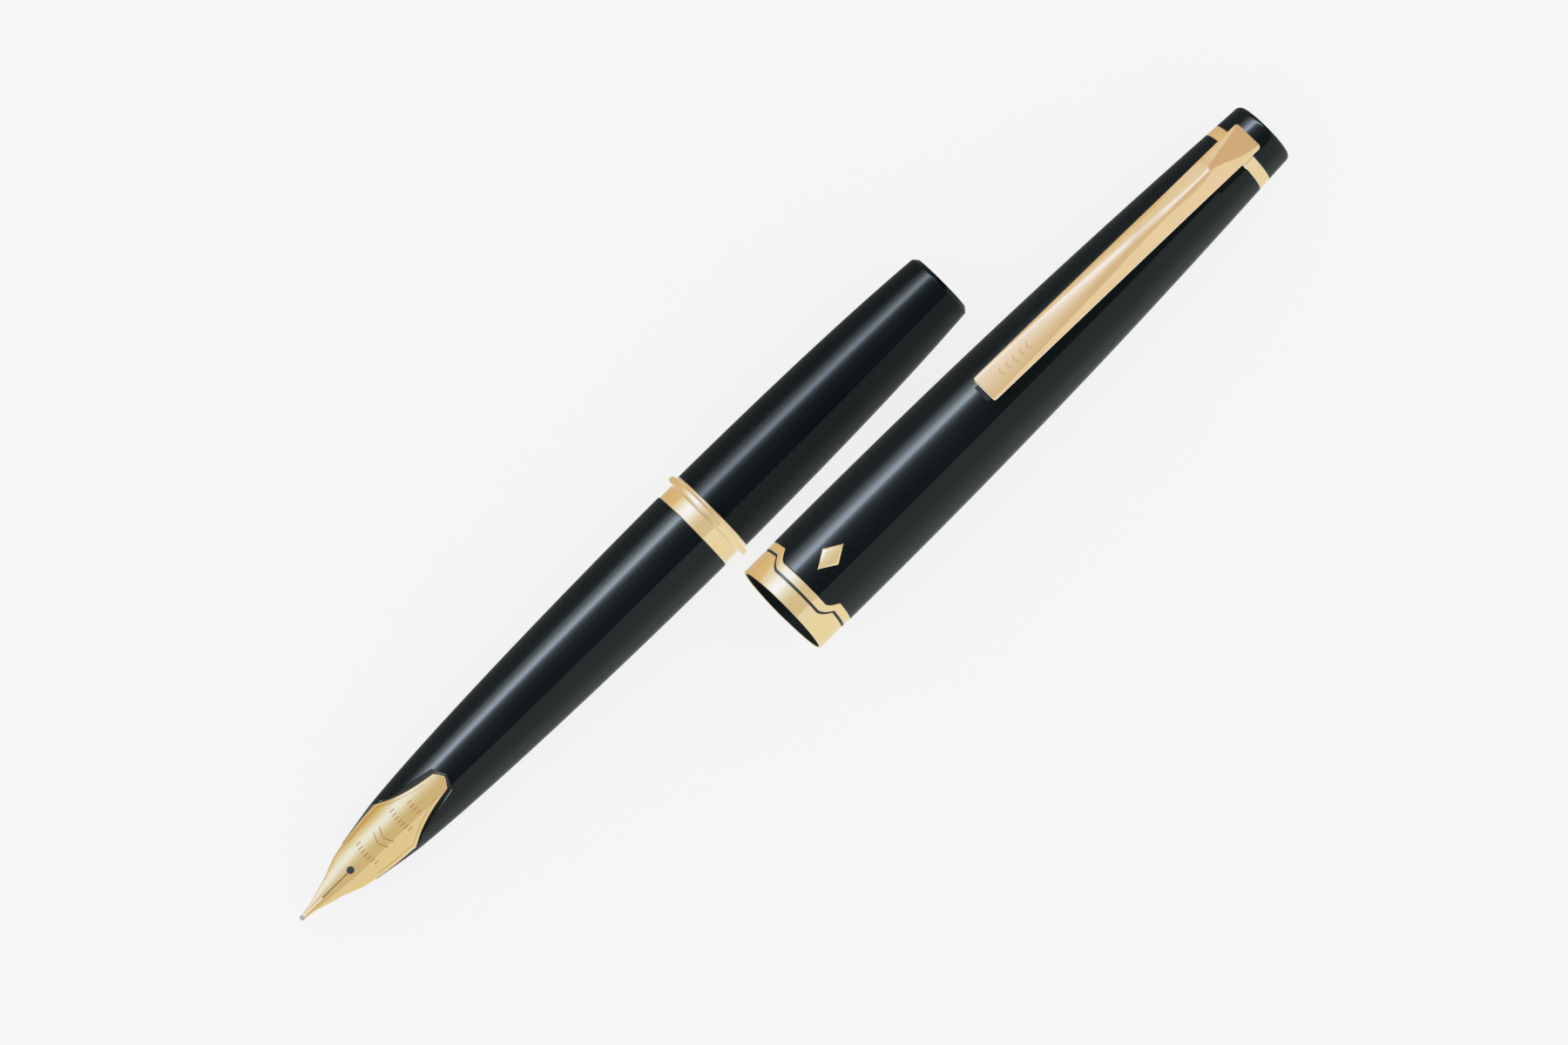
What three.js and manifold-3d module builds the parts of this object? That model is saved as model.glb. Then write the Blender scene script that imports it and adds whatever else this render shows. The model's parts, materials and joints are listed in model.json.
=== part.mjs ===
// A pocket fountain pen lying uncapped on a table with its cap beside it.
// Millimetres, +Z up. The pen is modelled along +X from the tip of its nib, and the cap
// along +X from its mouth. Both are then laid down side by side on the plane z = 0.

import * as THREE from 'three';
import { mergeVertices } from 'three/addons/utils/BufferGeometryUtils.js';
import Module from 'manifold-3d';

const wasm = await Module();
wasm.setup();

// ---- Driving dimensions ----

const FINE = 36;                  // facets round the outer pieces
const COARSE = 20;                // facets round the pieces inside
const FIT = 0.1;                  // gap between pieces that are fixed to each other
const BEYOND = 8;                 // height that any cutting shape reaches past the outside

// Outer lines as radius against distance along the axis
const SECTION_LINE = curve([15.5, 3.85], [25.3, 4.88], [47.2, 5.52], [64.3, 5.55]);
const BARREL_LINE = curve([67.62, 5.62], [80.5, 5.54], [93.6, 5.28], [104.8, 4.41]);
const CAP_LINE = curve([0, 6.27], [31.75, 6.57], [55.5, 5.63], [79.3, 4.2]);

// Pen, from the tip of the nib
const TIP_R = 0.36;
const TIP_Z = 0.12;
const LIP_START = 9.5;
const LIP_R = 2.75;
const NIB_SHOULDER = 15.5;
const NIB_END = 23.55;
const NIB_THICKNESS = 0.35;
const BREATHER_X = 8.17;
const BREATHER_R = 0.46;
const SLIT_WIDTH = 0.12;
const FEED_R = 2.15;
const FEED_END = 34;
const HOUSING_START = 24.6;
const HOUSING_R = 3.6;
const NIPPLE_FLANGE_END = 35.6;
const NIPPLE_END = 42.5;
const NIPPLE_R = 1.9;
const NIPPLE_BORE = 0.6;
const SECTION_END = 64.3;
const SECTION_BORE = 3.75;        // behind the feed's housing
const BAND_START = 64.35;
const BAND_END = 66.3;
const BAND_R = 5.43;
const FLANGE_START = 66.5;
const FLANGE_END = 67.28;
const FLANGE_R = 6.24;
const TRIM_START = 67.36;
const TRIM_END = 67.55;
const TRIM_R = 5.7;
const BARREL_START = 67.62;
const BARREL_END = 105.3;
const BARREL_BOTTOM = 103.4;      // closed end of the barrel's bore
const BARREL_BORE = 4.3;
const INSERT_START = 68.3;
const INSERT_END = 75.4;
const INSERT_SEAT_R = 5.12;
const THREAD_START = 68.4;
const THREAD_END = 74.5;
const THREAD_PITCH = 0.8;
const THREAD_FLANK = 0.45;        // share of the pitch from a thread's root to its crest
const SLEEVE_START = 46;
const SLEEVE_R = 4.4;
const SLEEVE_SEAT_R = 4.5;        // bore of the section, band and flange round the sleeve
const SLEEVE_BORE = 3.95;

// Converter, on the pen's axis
const SOCKET_START = 36.1;
const SOCKET_END = 43.5;
const SOCKET_R = 3.5;
const MOUTH_END = 45;             // end of the socket's spigot inside the tube
const TUBE_END = 66;
const TUBE_R = 3.25;
const TUBE_BORE = 2.75;
const BAND_TUBE_START = 64;
const BAND_TUBE_END = 81;
const BAND_TUBE_R = 3.65;
const ROD_R = 1.15;
const ROD_BORE = 1.35;
const PISTON_START = 45.4;
const PISTON_LENGTH = 2.8;
const PISTON_R = 2.5;
const PISTON_WAIST = 2;
const PISTON_LIP = 0.6;
const SEAL_R = 2.68;
const ROD_END = 77;
const STEM_START = 70;
const KNOB_START = 81.3;
const KNOB_END = 94;
const KNOB_R = 3.4;
const KNOB_GROOVES = 12;

// Cap, from its mouth
const MOUTH_BORE = 5.66;
const BAND_BORE = 6.05;
const BAND_LOW = 3.5;             // height of the band across the front
const BAND_HIGH = 4.9;            // height of the band at the sides and back
const INLAY_LOW = 2.28;
const INLAY_HIGH = 3.68;
const INLAY_WIDTH = 0.4;
const INLAY_DEPTH = 0.14;
const BAND_STEP = [33.5, 46];     // degrees from its front between which the band rises
const INLAY_STEP = [32.5, 48];
const BAND_TURN = 4.5;            // degrees from the top of the cap to the band's front
const GRIP_START = 14;
const GRIP_END = 22;
const GRIP_R = 5.8;
const LINER_START = 32;
const LINER_END = 69.6;
const LINER_FLOOR = 1.2;          // thickness of the inner cap's closed end
const CAP_WALL = 0.7;
const CAP_TOP = 74.72;            // rear end of the cap's tube
const SLOT_START = 70.4;          // slot in the cap's tube for the clip's tab
const SLOT_LEFT = -2.45;
const SLOT_RIGHT = 1.95;
const RING_START = 74.82;
const RING_END = 76.27;
const FINIAL_START = 76.37;
const FINIAL_END = 79.96;
const FINIAL_EDGE = 0.7;          // rounding of the finial's rim
const SPIGOT_R = 3;
const SCREW_R = 1;
const SCREW_HEAD_R = 2.1;
const SCREW_HEAD = 1.1;
const SCREW_END = 77.8;
const EMBLEM_X = 7.8;
const EMBLEM_REACH = 2.1;
const EMBLEM_HALF = 1.3;
const EMBLEM_HEIGHT = 0.1;

// Clip, on the cap
const CLIP_TURN = 11.5;           // degrees from the top of the cap to the clip
const CLIP_START = 34.16;
const CLIP_RIDGE = 71.3;          // where the long flat narrows to a ridge
const CLIP_END = 77.6;
const CLIP_LIFT = 0.85;           // underside of the free end above the cap
const CLIP_ROOT_Z = 4.76;         // underside of the head above the cap's axis
const TAB_START = 71.3;
const TAB_END = 74;
const TAB_HALF = 1.25;
const TAB_BOTTOM = 3.4;
const FOOT_AHEAD = 0.55;          // how far the foot shows in front of the free end
const FOOT_LENGTH = 3.6;
const FOOT_HALF = 1.07;

// How the two halves lie
const PEN_PITCH = 2.21;           // degrees, nose down, resting on the flange and the grip
const CAP_PITCH = 1.3;            // degrees, top end down, resting on its belly
const CAP_MOUTH_X = 65.1;
const CAP_SIDE = 13.95;           // distance between the two axes

// ---- Materials ----

const finish = (color, roughness, metalness) =>
  new THREE.MeshStandardMaterial({ color, roughness, metalness });
const BLACK_RESIN = finish(0x0b0e11, 0.08, 0);
const GOLD = finish(0xd9b06a, 0.16, 1);
const NIB_GOLD = finish(0xdcb468, 0.2, 1);
const TIPPING = finish(0xb9bcc0, 0.25, 1);
const STEEL = finish(0xb4b7ba, 0.25, 1);
const BRASS = finish(0xb08d4c, 0.35, 1);
const ENAMEL = finish(0x14171a, 0.3, 0);
const FEED_BLACK = finish(0x101114, 0.55, 0);
const DARK_PLASTIC = finish(0x1b1c1f, 0.45, 0);
const WHITE_PLASTIC = finish(0xd8d9d4, 0.5, 0);
const CLEAR = finish(0xdfe6ea, 0.05, 0);
const RUBBER = finish(0x1c1c1d, 0.8, 0);

// ---- Geometry helpers ----

const DEGREE = Math.PI / 180;

function curve(...points) {
  const [a, b, c, d] = points.map(([x, r]) => new THREE.Vector2(x, r));
  return new THREE.CubicBezierCurve(a, b, c, d);
}

// Points [x, r] along a whole line
function along(line, steps) {
  return line.getPoints(steps).map((p) => [p.x, p.y]);
}

// Radius of a line at a distance along the axis
function radiusAt(line, x) {
  const points = line.getPoints(200);
  const after = Math.max(1, points.findIndex((p) => p.x >= x));
  const [a, b] = [points[after - 1], points[after]];
  return a.y + ((b.y - a.y) * (x - a.x)) / (b.x - a.x);
}

// Points [x, r] of a line between two distances, moved inwards by an inset
function between(line, start, end, steps, inset = 0) {
  return Array.from({ length: steps + 1 }, (_, i) => {
    const x = start + ((end - start) * i) / steps;
    return [x, radiusAt(line, x) - inset];
  });
}

function signedVolume(position, faces) {
  const [a, b, c] = [new THREE.Vector3(), new THREE.Vector3(), new THREE.Vector3()];
  let volume = 0;
  for (const [i, j, k] of faces) {
    a.fromBufferAttribute(position, i);
    b.fromBufferAttribute(position, j);
    c.fromBufferAttribute(position, k);
    volume += a.dot(b.cross(c)) / 6;
  }
  return volume;
}

// A closed geometry as a solid whose faces point out
function solid(geometry) {
  geometry.deleteAttribute('normal');
  geometry.deleteAttribute('uv');
  const merged = mergeVertices(geometry, 1e-4);
  const index = merged.getIndex().array;
  const faces = [];
  for (let i = 0; i < index.length; i += 3) {
    const face = [index[i], index[i + 1], index[i + 2]];
    if (new Set(face).size === 3) faces.push(face);
  }
  if (signedVolume(merged.getAttribute('position'), faces) < 0) {
    faces.forEach((face) => face.reverse());
  }
  const mesh = new wasm.Mesh({
    numProp: 3,
    vertProperties: new Float32Array(merged.getAttribute('position').array),
    triVerts: new Uint32Array(faces.flat()),
  });
  return new wasm.Manifold(mesh);
}

// A profile of [x, r] points turned about the X axis
function turned(profile, facets = COARSE) {
  const points = profile.map(([x, r]) => new THREE.Vector2(r, x));
  return solid(new THREE.LatheGeometry(points, facets).rotateZ(-Math.PI / 2));
}

// A closed ring: the profile comes back to its first point
function ring(profile, facets = COARSE) {
  return turned([...profile, profile[0]], facets);
}

function tube(start, end, outer, inner, facets = COARSE) {
  return ring([[start, inner], [start, outer], [end, outer], [end, inner]], facets);
}

function rod(start, end, radius, facets = COARSE) {
  return turned([[start, 0], [start, radius], [end, radius], [end, 0]], facets);
}

// A box given by its lowest and highest corners
function block(low, high) {
  const size = low.map((value, i) => high[i] - value);
  const centre = low.map((value, i) => (value + high[i]) / 2);
  return solid(new THREE.BoxGeometry(...size).translate(...centre));
}

// An outline of [x, y] points standing up in Z
function prism(outline, bottom, top) {
  const shape = new THREE.Shape(outline.map(([x, y]) => new THREE.Vector2(x, y)));
  const geometry = new THREE.ExtrudeGeometry(shape, { depth: top - bottom, bevelEnabled: false });
  return solid(geometry.translate(0, 0, bottom));
}

function fromFaces(vertices, faces) {
  const geometry = new THREE.BufferGeometry();
  geometry.setAttribute('position', new THREE.Float32BufferAttribute(vertices.flat(), 3));
  geometry.setIndex(faces.flat());
  return solid(geometry);
}

// The band of faces that joins two neighbouring loops of points
function bandOfFaces(first, second, count) {
  return Array.from({ length: count }, (_, i) => {
    const next = (i + 1) % count;
    return [first + i, second + i, second + next, first + i, second + next, first + next];
  }).flat();
}

// A solid through sections that each lie across X, with a flat face at both ends
function loft(sections) {
  const count = sections[0].length;
  const faces = [];
  for (let s = 0; s + 1 < sections.length; s += 1) {
    faces.push(...bandOfFaces(s * count, (s + 1) * count, count));
  }
  const capFaces = (section, offset, flip) => {
    const flat = section.map(([, y, z]) => new THREE.Vector2(y, z));
    return THREE.ShapeUtils.triangulateShape(flat, []).flatMap((face) => {
      const [a, b, c] = face.map((i) => i + offset);
      return flip ? [c, b, a] : [a, b, c];
    });
  };
  const last = sections.length - 1;
  const turnsLeft = THREE.ShapeUtils.area(sections[0].map(([, y, z]) => new THREE.Vector2(y, z))) > 0;
  faces.push(...capFaces(sections[0], 0, !turnsLeft));
  faces.push(...capFaces(sections[last], last * count, turnsLeft));
  return fromFaces(sections.flat(), faces);
}

// A closed ring about X whose [x, r] section changes with the angle
function hoop(angles, sectionAt) {
  const sections = angles.map((angle) => {
    const [sin, cos] = [Math.sin(angle), Math.cos(angle)];
    return sectionAt(angle).map(([x, r]) => [x, r * sin, r * cos]);
  });
  const count = sections[0].length;
  const faces = sections.flatMap((_, s) =>
    bandOfFaces(s * count, ((s + 1) % sections.length) * count, count));
  return fromFaces(sections.flat(), faces);
}

// Turns a solid about the X axis, from +Z towards +Y
function rolled(shape, degrees) {
  return shape.rotate([-degrees, 0, 0]);
}

function cut(shape, ...tools) {
  return tools.reduce((left, tool) => left.subtract(tool), shape);
}

function place(group, name, shape, material) {
  const { vertProperties, triVerts } = shape.getMesh();
  const geometry = new THREE.BufferGeometry();
  geometry.setAttribute('position', new THREE.BufferAttribute(new Float32Array(vertProperties), 3));
  geometry.setIndex(new THREE.BufferAttribute(new Uint32Array(triVerts), 1));
  geometry.computeVertexNormals();
  const mesh = new THREE.Mesh(geometry, material);
  mesh.name = name;
  group.add(mesh);
}

// ---- Nib and feed ----

// Stations along the nib: x, half width, height of the ridge and of the edges
const NIB_STATIONS = [
  [0.45, 0.3, 0.42, 0.32],
  [1.8, 0.47, 0.76, 0.66],
  [3.05, 0.81, 1.07, 0.88],
  [4.3, 1.19, 1.4, 1.08],
  [5.5, 1.52, 1.7, 1.26],
  [6.7, 2, 2, 1.32],
  [7.9, 2.45, 2.3, 1.36],
  [10, 2.88, 2.82, 1.5],
  [12.5, 3.23, 3.34, 1.57],
];

// Behind its shoulders the nib is flush with the section: x and half width
const NIB_TAIL = [
  [NIB_SHOULDER, 3.45],
  [17.4, 2.5],
  [19.9, 1.72],
  [22.83, 1.18],
  [NIB_END, 0.15],
];

// One side of the recess that the tail lies in: x and half width
const RECESS = [
  [NIB_SHOULDER - 0.4, 3.72],
  [NIB_SHOULDER, 3.6],
  [17.2, 2.85],
  [23.12, 1.65],
  [23.87, 0.15],
];

function nibStations() {
  const tail = NIB_TAIL.map(([x, half]) => {
    const r = radiusAt(SECTION_LINE, x);
    return [x, half, r, Math.sqrt(r * r - half * half)];
  });
  return [...NIB_STATIONS, ...tail];
}

// An arc over a station, from one edge over the ridge to the other
function nibArc([x, half, top, edge], drop) {
  const rise = top - edge;
  const r = (half * half + rise * rise) / (2 * rise);
  const reach = Math.asin(Math.min(1, half / r));
  const steps = 8;
  return Array.from({ length: steps + 1 }, (_, i) => {
    const angle = reach * ((2 * i) / steps - 1);
    return [x, r * Math.sin(angle), top - r + r * Math.cos(angle) - drop];
  });
}

function nib() {
  const sections = nibStations().map((station) => [
    ...nibArc(station, 0),
    ...nibArc(station, NIB_THICKNESS).reverse(),
  ]);
  const breather = new THREE.CylinderGeometry(BREATHER_R, BREATHER_R, BEYOND, COARSE);
  const hole = solid(breather.rotateX(Math.PI / 2).translate(BREATHER_X, 0, BEYOND / 2));
  const slit = block([0, -SLIT_WIDTH / 2, -1], [BREATHER_X, SLIT_WIDTH / 2, BEYOND]);
  return cut(loft(sections), hole, slit);
}

// The ball of hard metal, cut off flat where the tines begin
function nibTip() {
  const ball = new THREE.SphereGeometry(TIP_R, 10, 8).scale(0.85, 0.8, 0.8);
  const start = NIB_STATIONS[0][0];
  return cut(solid(ball.translate(0.32, 0, TIP_Z)), block([start - 0.03, -1, -1], [2, 1, 1]));
}

// Stations along the feed: x, half width, top and bottom
function feed() {
  const stations = [
    [3.6, 0.35, 0.6, 0.15],
    [5.2, 0.8, 1.02, -0.3],
    [8, 1.5, 1.7, -1.1],
    [12, 2, 2.05, -1.75],
    [15.5, FEED_R, FEED_R, -FEED_R],
    [FEED_END, FEED_R, FEED_R, -FEED_R],
  ];
  const sides = 16;
  return loft(stations.map(([x, half, top, bottom]) =>
    Array.from({ length: sides }, (_, i) => {
      const angle = (2 * Math.PI * i) / sides;
      const [middle, rise] = [(top + bottom) / 2, (top - bottom) / 2];
      return [x, half * Math.cos(angle), middle + rise * Math.sin(angle)];
    })));
}

function feedHousing() {
  return tube(HOUSING_START, FEED_END, HOUSING_R, FEED_R + FIT);
}

function inkNipple() {
  const start = FEED_END + FIT;
  return ring([[start, NIPPLE_BORE], [start, HOUSING_R], [NIPPLE_FLANGE_END, HOUSING_R],
    [NIPPLE_FLANGE_END, NIPPLE_R], [NIPPLE_END - 0.8, NIPPLE_R], [NIPPLE_END, NIPPLE_R - 0.4],
    [NIPPLE_END, NIPPLE_BORE]]);
}

// ---- Section ----

const MOUTH_FLOOR = 1.3;          // height of the mouth's edge at the nib's shoulders

// The recess round the nib's tail, open at the top
function nibRecess() {
  const other = RECESS.map(([x, y]) => [x, -y]).reverse();
  return prism([...RECESS, ...other], MOUTH_FLOOR, BEYOND);
}

// The open mouth in front of the nib's shoulders, cut slanting down to the lip
function mouthCut() {
  const profile = [[LIP_START - 1, 0.2], [10, 0.55], [12.5, 0.8], [NIB_SHOULDER, MOUTH_FLOOR],
    [NIB_SHOULDER, BEYOND], [LIP_START - 1, BEYOND]];
  const shape = new THREE.Shape(profile.map(([x, z]) => new THREE.Vector2(x, z)));
  const geometry = new THREE.ExtrudeGeometry(shape, { depth: 2 * BEYOND, bevelEnabled: false });
  return solid(geometry.rotateX(Math.PI / 2).translate(0, BEYOND, 0));
}

function sectionShell() {
  const seatStart = SLEEVE_START - 0.3;
  const wallFront = HOUSING_START - 0.3;
  const body = ring([
    [LIP_START, LIP_R - 0.25], [LIP_START, LIP_R], [LIP_START + 0.2, LIP_R + 0.15],
    ...along(SECTION_LINE, 8),
    [SECTION_END, SLEEVE_SEAT_R], [seatStart, SLEEVE_SEAT_R], [seatStart, SLEEVE_BORE + 0.05],
    [wallFront, SECTION_BORE], [wallFront, 2.6],
  ], FINE);
  return cut(body, nibRecess(), mouthCut());
}

function sectionSleeve() {
  const crest = SLEEVE_R + 0.2;
  const ridges = [];
  for (let x = THREAD_START; x + THREAD_PITCH < THREAD_END; x += THREAD_PITCH) {
    ridges.push([x, SLEEVE_R], [x + THREAD_PITCH * THREAD_FLANK, crest]);
  }
  return ring([[SLEEVE_START, SLEEVE_BORE], [SLEEVE_START, SLEEVE_R], ...ridges,
    [THREAD_END, SLEEVE_R - 0.1], [THREAD_END, SLEEVE_BORE]], COARSE);
}

function sectionBand() {
  const bore = SLEEVE_SEAT_R + 0.05;
  return ring([[BAND_START, bore], [BAND_START, BAND_R - 0.05], [BAND_START + 0.06, BAND_R],
    [BAND_END - 0.1, BAND_R], [BAND_END, BAND_R - 0.13], [BAND_END, bore]], FINE);
}

function stopFlange() {
  const bore = SLEEVE_SEAT_R + 0.05;
  const root = BAND_R - 0.13;
  return ring([[BAND_END + FIT, bore], [BAND_END + FIT, root], [FLANGE_START, root],
    [FLANGE_START, FLANGE_R - 0.09], [FLANGE_START + 0.08, FLANGE_R], [FLANGE_START + 0.6, FLANGE_R],
    [FLANGE_END, TRIM_R + 0.05], [FLANGE_END, bore]], FINE);
}

function barrelTrimRing() {
  return tube(TRIM_START, TRIM_END, TRIM_R, SLEEVE_R + 0.38, FINE);
}

// ---- Barrel ----

function barrelShell() {
  return turned([
    [BARREL_BOTTOM, 0], [BARREL_BOTTOM - 0.6, 3.7], [96, 3.95], [90, BARREL_BORE],
    [INSERT_END + 0.2, BARREL_BORE], [INSERT_END + 0.2, INSERT_SEAT_R], [BARREL_START, INSERT_SEAT_R],
    ...along(BARREL_LINE, 8),
    [BARREL_END, 3.85], [BARREL_END, 0],
  ], FINE);
}

function barrelThreadInsert() {
  const crest = SLEEVE_R + 0.32;
  const root = crest + 0.15;
  const outer = INSERT_SEAT_R - FIT;
  const ridges = [];
  for (let x = THREAD_END - 1.3; x > INSERT_START + THREAD_PITCH; x -= THREAD_PITCH) {
    ridges.push([x, root], [x - THREAD_PITCH * THREAD_FLANK, crest]);
  }
  return ring([[INSERT_END, root], ...ridges, [INSERT_START, root], [INSERT_START, outer],
    [INSERT_END, outer]]);
}

// ---- Converter ----

function converterMouth() {
  const bore = NIPPLE_R + 0.15;
  return ring([[SOCKET_START, bore + 0.15], [SOCKET_START + 0.6, bore], [MOUTH_END, bore],
    [MOUTH_END, TUBE_BORE - FIT], [SOCKET_END, TUBE_BORE - FIT], [SOCKET_END, SOCKET_R],
    [SOCKET_START, SOCKET_R]]);
}

function converterTube() {
  return tube(SOCKET_END + FIT, TUBE_END, TUBE_R, TUBE_BORE);
}

function converterSleeve() {
  return tube(BAND_TUBE_START, BAND_TUBE_END, BAND_TUBE_R, TUBE_R + FIT, 24);
}

function rodGuide() {
  return tube(TUBE_END + 0.3, STEM_START - 0.4, TUBE_R, ROD_BORE);
}

function pistonHead() {
  const end = PISTON_START + PISTON_LENGTH;
  const [front, back] = [PISTON_START + PISTON_LIP, end - PISTON_LIP];
  return turned([[PISTON_START, 0], [PISTON_START, PISTON_R], [front, PISTON_R], [front, PISTON_WAIST],
    [back, PISTON_WAIST], [back, PISTON_R], [end, PISTON_R], [end, 0]]);
}

// A ring with two lips that wipe the tube
function pistonSeal() {
  const start = PISTON_START + PISTON_LIP + FIT;
  const end = PISTON_START + PISTON_LENGTH - PISTON_LIP - FIT;
  const bore = PISTON_WAIST + 0.08;
  const side = SEAL_R - 0.08;
  return ring([[start, bore], [start, side], [start + 0.2, SEAL_R], [(start + end) / 2, PISTON_R],
    [end - 0.2, SEAL_R], [end, side], [end, bore]]);
}

function pistonRod() {
  return rod(PISTON_START + PISTON_LENGTH + FIT, ROD_END, ROD_R, 12);
}

function converterKnob() {
  const floor = KNOB_END - 0.8;
  const stem = TUBE_R - FIT;
  const edge = 0.3;
  const body = turned([[floor, 0], [floor, ROD_BORE], [STEM_START, ROD_BORE], [STEM_START, stem],
    [KNOB_START, stem], [KNOB_START, KNOB_R], [KNOB_END - edge, KNOB_R], [KNOB_END, KNOB_R - edge],
    [KNOB_END, 0]], 24);
  const grooves = Array.from({ length: KNOB_GROOVES }, (_, i) => {
    const groove = block([KNOB_START + 1.2, -0.2, KNOB_R - 0.15], [KNOB_END - 1.2, 0.2, KNOB_R + 1]);
    return rolled(groove, (360 * i) / KNOB_GROOVES);
  });
  return cut(body, ...grooves);
}

// ---- Cap ----

// Angles round the cap, close together where the band's outline steps
function capAngles() {
  const [front, fineStep] = [60, 4];
  const coarseStep = 360 / FINE;
  const coarse = Array.from({ length: FINE }, (_, i) => i * coarseStep)
    .filter((angle) => angle >= front && angle <= 360 - front);
  const fine = Array.from({ length: (2 * front) / fineStep }, (_, i) => (i + 0.5) * fineStep - front);
  return [...fine, ...coarse].map((angle) => angle * DEGREE);
}

// Height of a line that is low across the front and steps up to high at the sides
function stepped(angle, low, high, [from, to]) {
  const turn = Math.abs(Math.atan2(Math.sin(angle), Math.cos(angle))) / DEGREE;
  const share = Math.min(1, Math.max(0, (turn - from) / (to - from)));
  return low + (high - low) * share ** 1.6;
}

const bandTop = (angle) => stepped(angle, BAND_LOW, BAND_HIGH, BAND_STEP);
const inlayMiddle = (angle) => stepped(angle, INLAY_LOW, INLAY_HIGH, INLAY_STEP);

function capBand() {
  const outer = CAP_LINE.v0.y;
  const half = INLAY_WIDTH / 2 + 0.02;
  const floor = outer - INLAY_DEPTH;
  const shape = hoop(capAngles(), (angle) => {
    const middle = inlayMiddle(angle);
    return [[0, BAND_BORE], [0, outer - 0.08], [0.08, outer], [middle - half, outer],
      [middle - half, floor], [middle + half, floor], [middle + half, outer],
      [bandTop(angle), outer + 0.02], [bandTop(angle), BAND_BORE]];
  });
  return rolled(shape, BAND_TURN);
}

function capBandInlay() {
  const outer = CAP_LINE.v0.y - 0.02;
  const half = INLAY_WIDTH / 2 - 0.02;
  const shape = hoop(capAngles(), (angle) => {
    const middle = inlayMiddle(angle);
    return [[middle - half, outer - 0.09], [middle - half, outer], [middle + half, outer],
      [middle + half, outer - 0.09]];
  });
  return rolled(shape, BAND_TURN);
}

function bandSeat() {
  const inner = BAND_BORE - 0.07;
  const shape = hoop(capAngles(), (angle) => {
    const end = bandTop(angle) + 0.06;
    return [[-1, inner], [-1, BEYOND], [end, BEYOND], [end, inner]];
  });
  return rolled(shape, BAND_TURN);
}

function clipSlot() {
  const slot = block([SLOT_START, SLOT_LEFT, SPIGOT_R], [CAP_TOP + 1, SLOT_RIGHT, BEYOND]);
  return rolled(slot, CLIP_TURN);
}

function capShell() {
  const inner = between(CAP_LINE, GRIP_END + 3, LINER_END + FIT, 4, CAP_WALL).reverse();
  const mouth = 0.05;
  const [grooveStart, grooveEnd, grooveR] = [GRIP_START - 0.2, GRIP_END + 0.2, GRIP_R + 0.07];
  const body = ring([
    ...between(CAP_LINE, mouth, CAP_TOP, 9),
    [CAP_TOP, SPIGOT_R + FIT], [LINER_END + FIT, SPIGOT_R + FIT],
    ...inner,
    [grooveEnd, MOUTH_BORE], [grooveEnd, grooveR], [grooveStart, grooveR], [grooveStart, MOUTH_BORE],
    [mouth, MOUTH_BORE],
  ], FINE);
  return cut(body, bandSeat(), clipSlot());
}

function capGripRing() {
  const body = tube(GRIP_START, GRIP_END, GRIP_R, GRIP_R - 0.2, 24);
  const slots = [60, 180, 300].map((turn) =>
    rolled(block([GRIP_START + 1.5, -0.5, SPIGOT_R], [GRIP_END + 1, 0.5, BEYOND]), turn));
  return cut(body, ...slots);
}

function innerCap() {
  const floor = LINER_END - LINER_FLOOR;
  const hole = SCREW_R + 0.15;
  const outer = between(CAP_LINE, LINER_START, LINER_END, 4, CAP_WALL + FIT);
  const inner = between(CAP_LINE, LINER_START, floor, 4, CAP_WALL + 0.5).reverse();
  return ring([...outer, [LINER_END, hole], [floor, hole], ...inner]);
}

function finialScrew() {
  const shank = LINER_END - LINER_FLOOR - FIT;
  return turned([[shank - SCREW_HEAD, 0], [shank - SCREW_HEAD, SCREW_HEAD_R], [shank, SCREW_HEAD_R],
    [shank, SCREW_R], [SCREW_END, SCREW_R], [SCREW_END, 0]], 16);
}

function clipRing() {
  return ring([...between(CAP_LINE, RING_START, RING_END, 1), [RING_END, SPIGOT_R + 0.15],
    [RING_START, SPIGOT_R + 0.15]], FINE);
}

function finial() {
  const bore = SCREW_END + 0.2;
  const boreR = SCREW_R + 0.12;
  const foot = LINER_END + 0.3;
  const steps = 3;
  const rim = radiusAt(CAP_LINE, FINIAL_END - FINIAL_EDGE) - FINIAL_EDGE;
  const edge = Array.from({ length: steps + 1 }, (_, i) => {
    const angle = (i / steps) * 90 * DEGREE;
    return [FINIAL_END - FINIAL_EDGE * (1 - Math.sin(angle)), rim + FINIAL_EDGE * Math.cos(angle)];
  });
  return turned([
    [bore, 0], [bore, boreR], [foot, boreR], [foot, SPIGOT_R], [FINIAL_START, SPIGOT_R],
    [FINIAL_START, radiusAt(CAP_LINE, FINIAL_START)], ...edge, [FINIAL_END, 0],
  ], FINE);
}

// A small lozenge let onto the cap's front above the band
function capEmblem() {
  const stations = [-1, -0.5, 0, 0.5, 1].map((share) => {
    const x = EMBLEM_X + share * EMBLEM_REACH;
    const half = Math.max(0.06, EMBLEM_HALF * (1 - Math.abs(share)));
    const base = radiusAt(CAP_LINE, x) + 0.04;
    const steps = 4;
    const arc = (r) => Array.from({ length: steps + 1 }, (_, i) => {
      const angle = (half / r) * ((2 * i) / steps - 1);
      return [x, r * Math.sin(angle), r * Math.cos(angle)];
    });
    return [...arc(base + EMBLEM_HEIGHT), ...arc(base).reverse()];
  });
  return rolled(loft(stations), BAND_TURN);
}

// ---- Clip ----

// Underside of the clip above the cap's axis
function clipUnderside(x) {
  const low = radiusAt(CAP_LINE, CLIP_START) + CLIP_LIFT;
  return low + ((CLIP_ROOT_Z - low) * (x - CLIP_START)) / (CLIP_END - CLIP_START);
}

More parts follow.
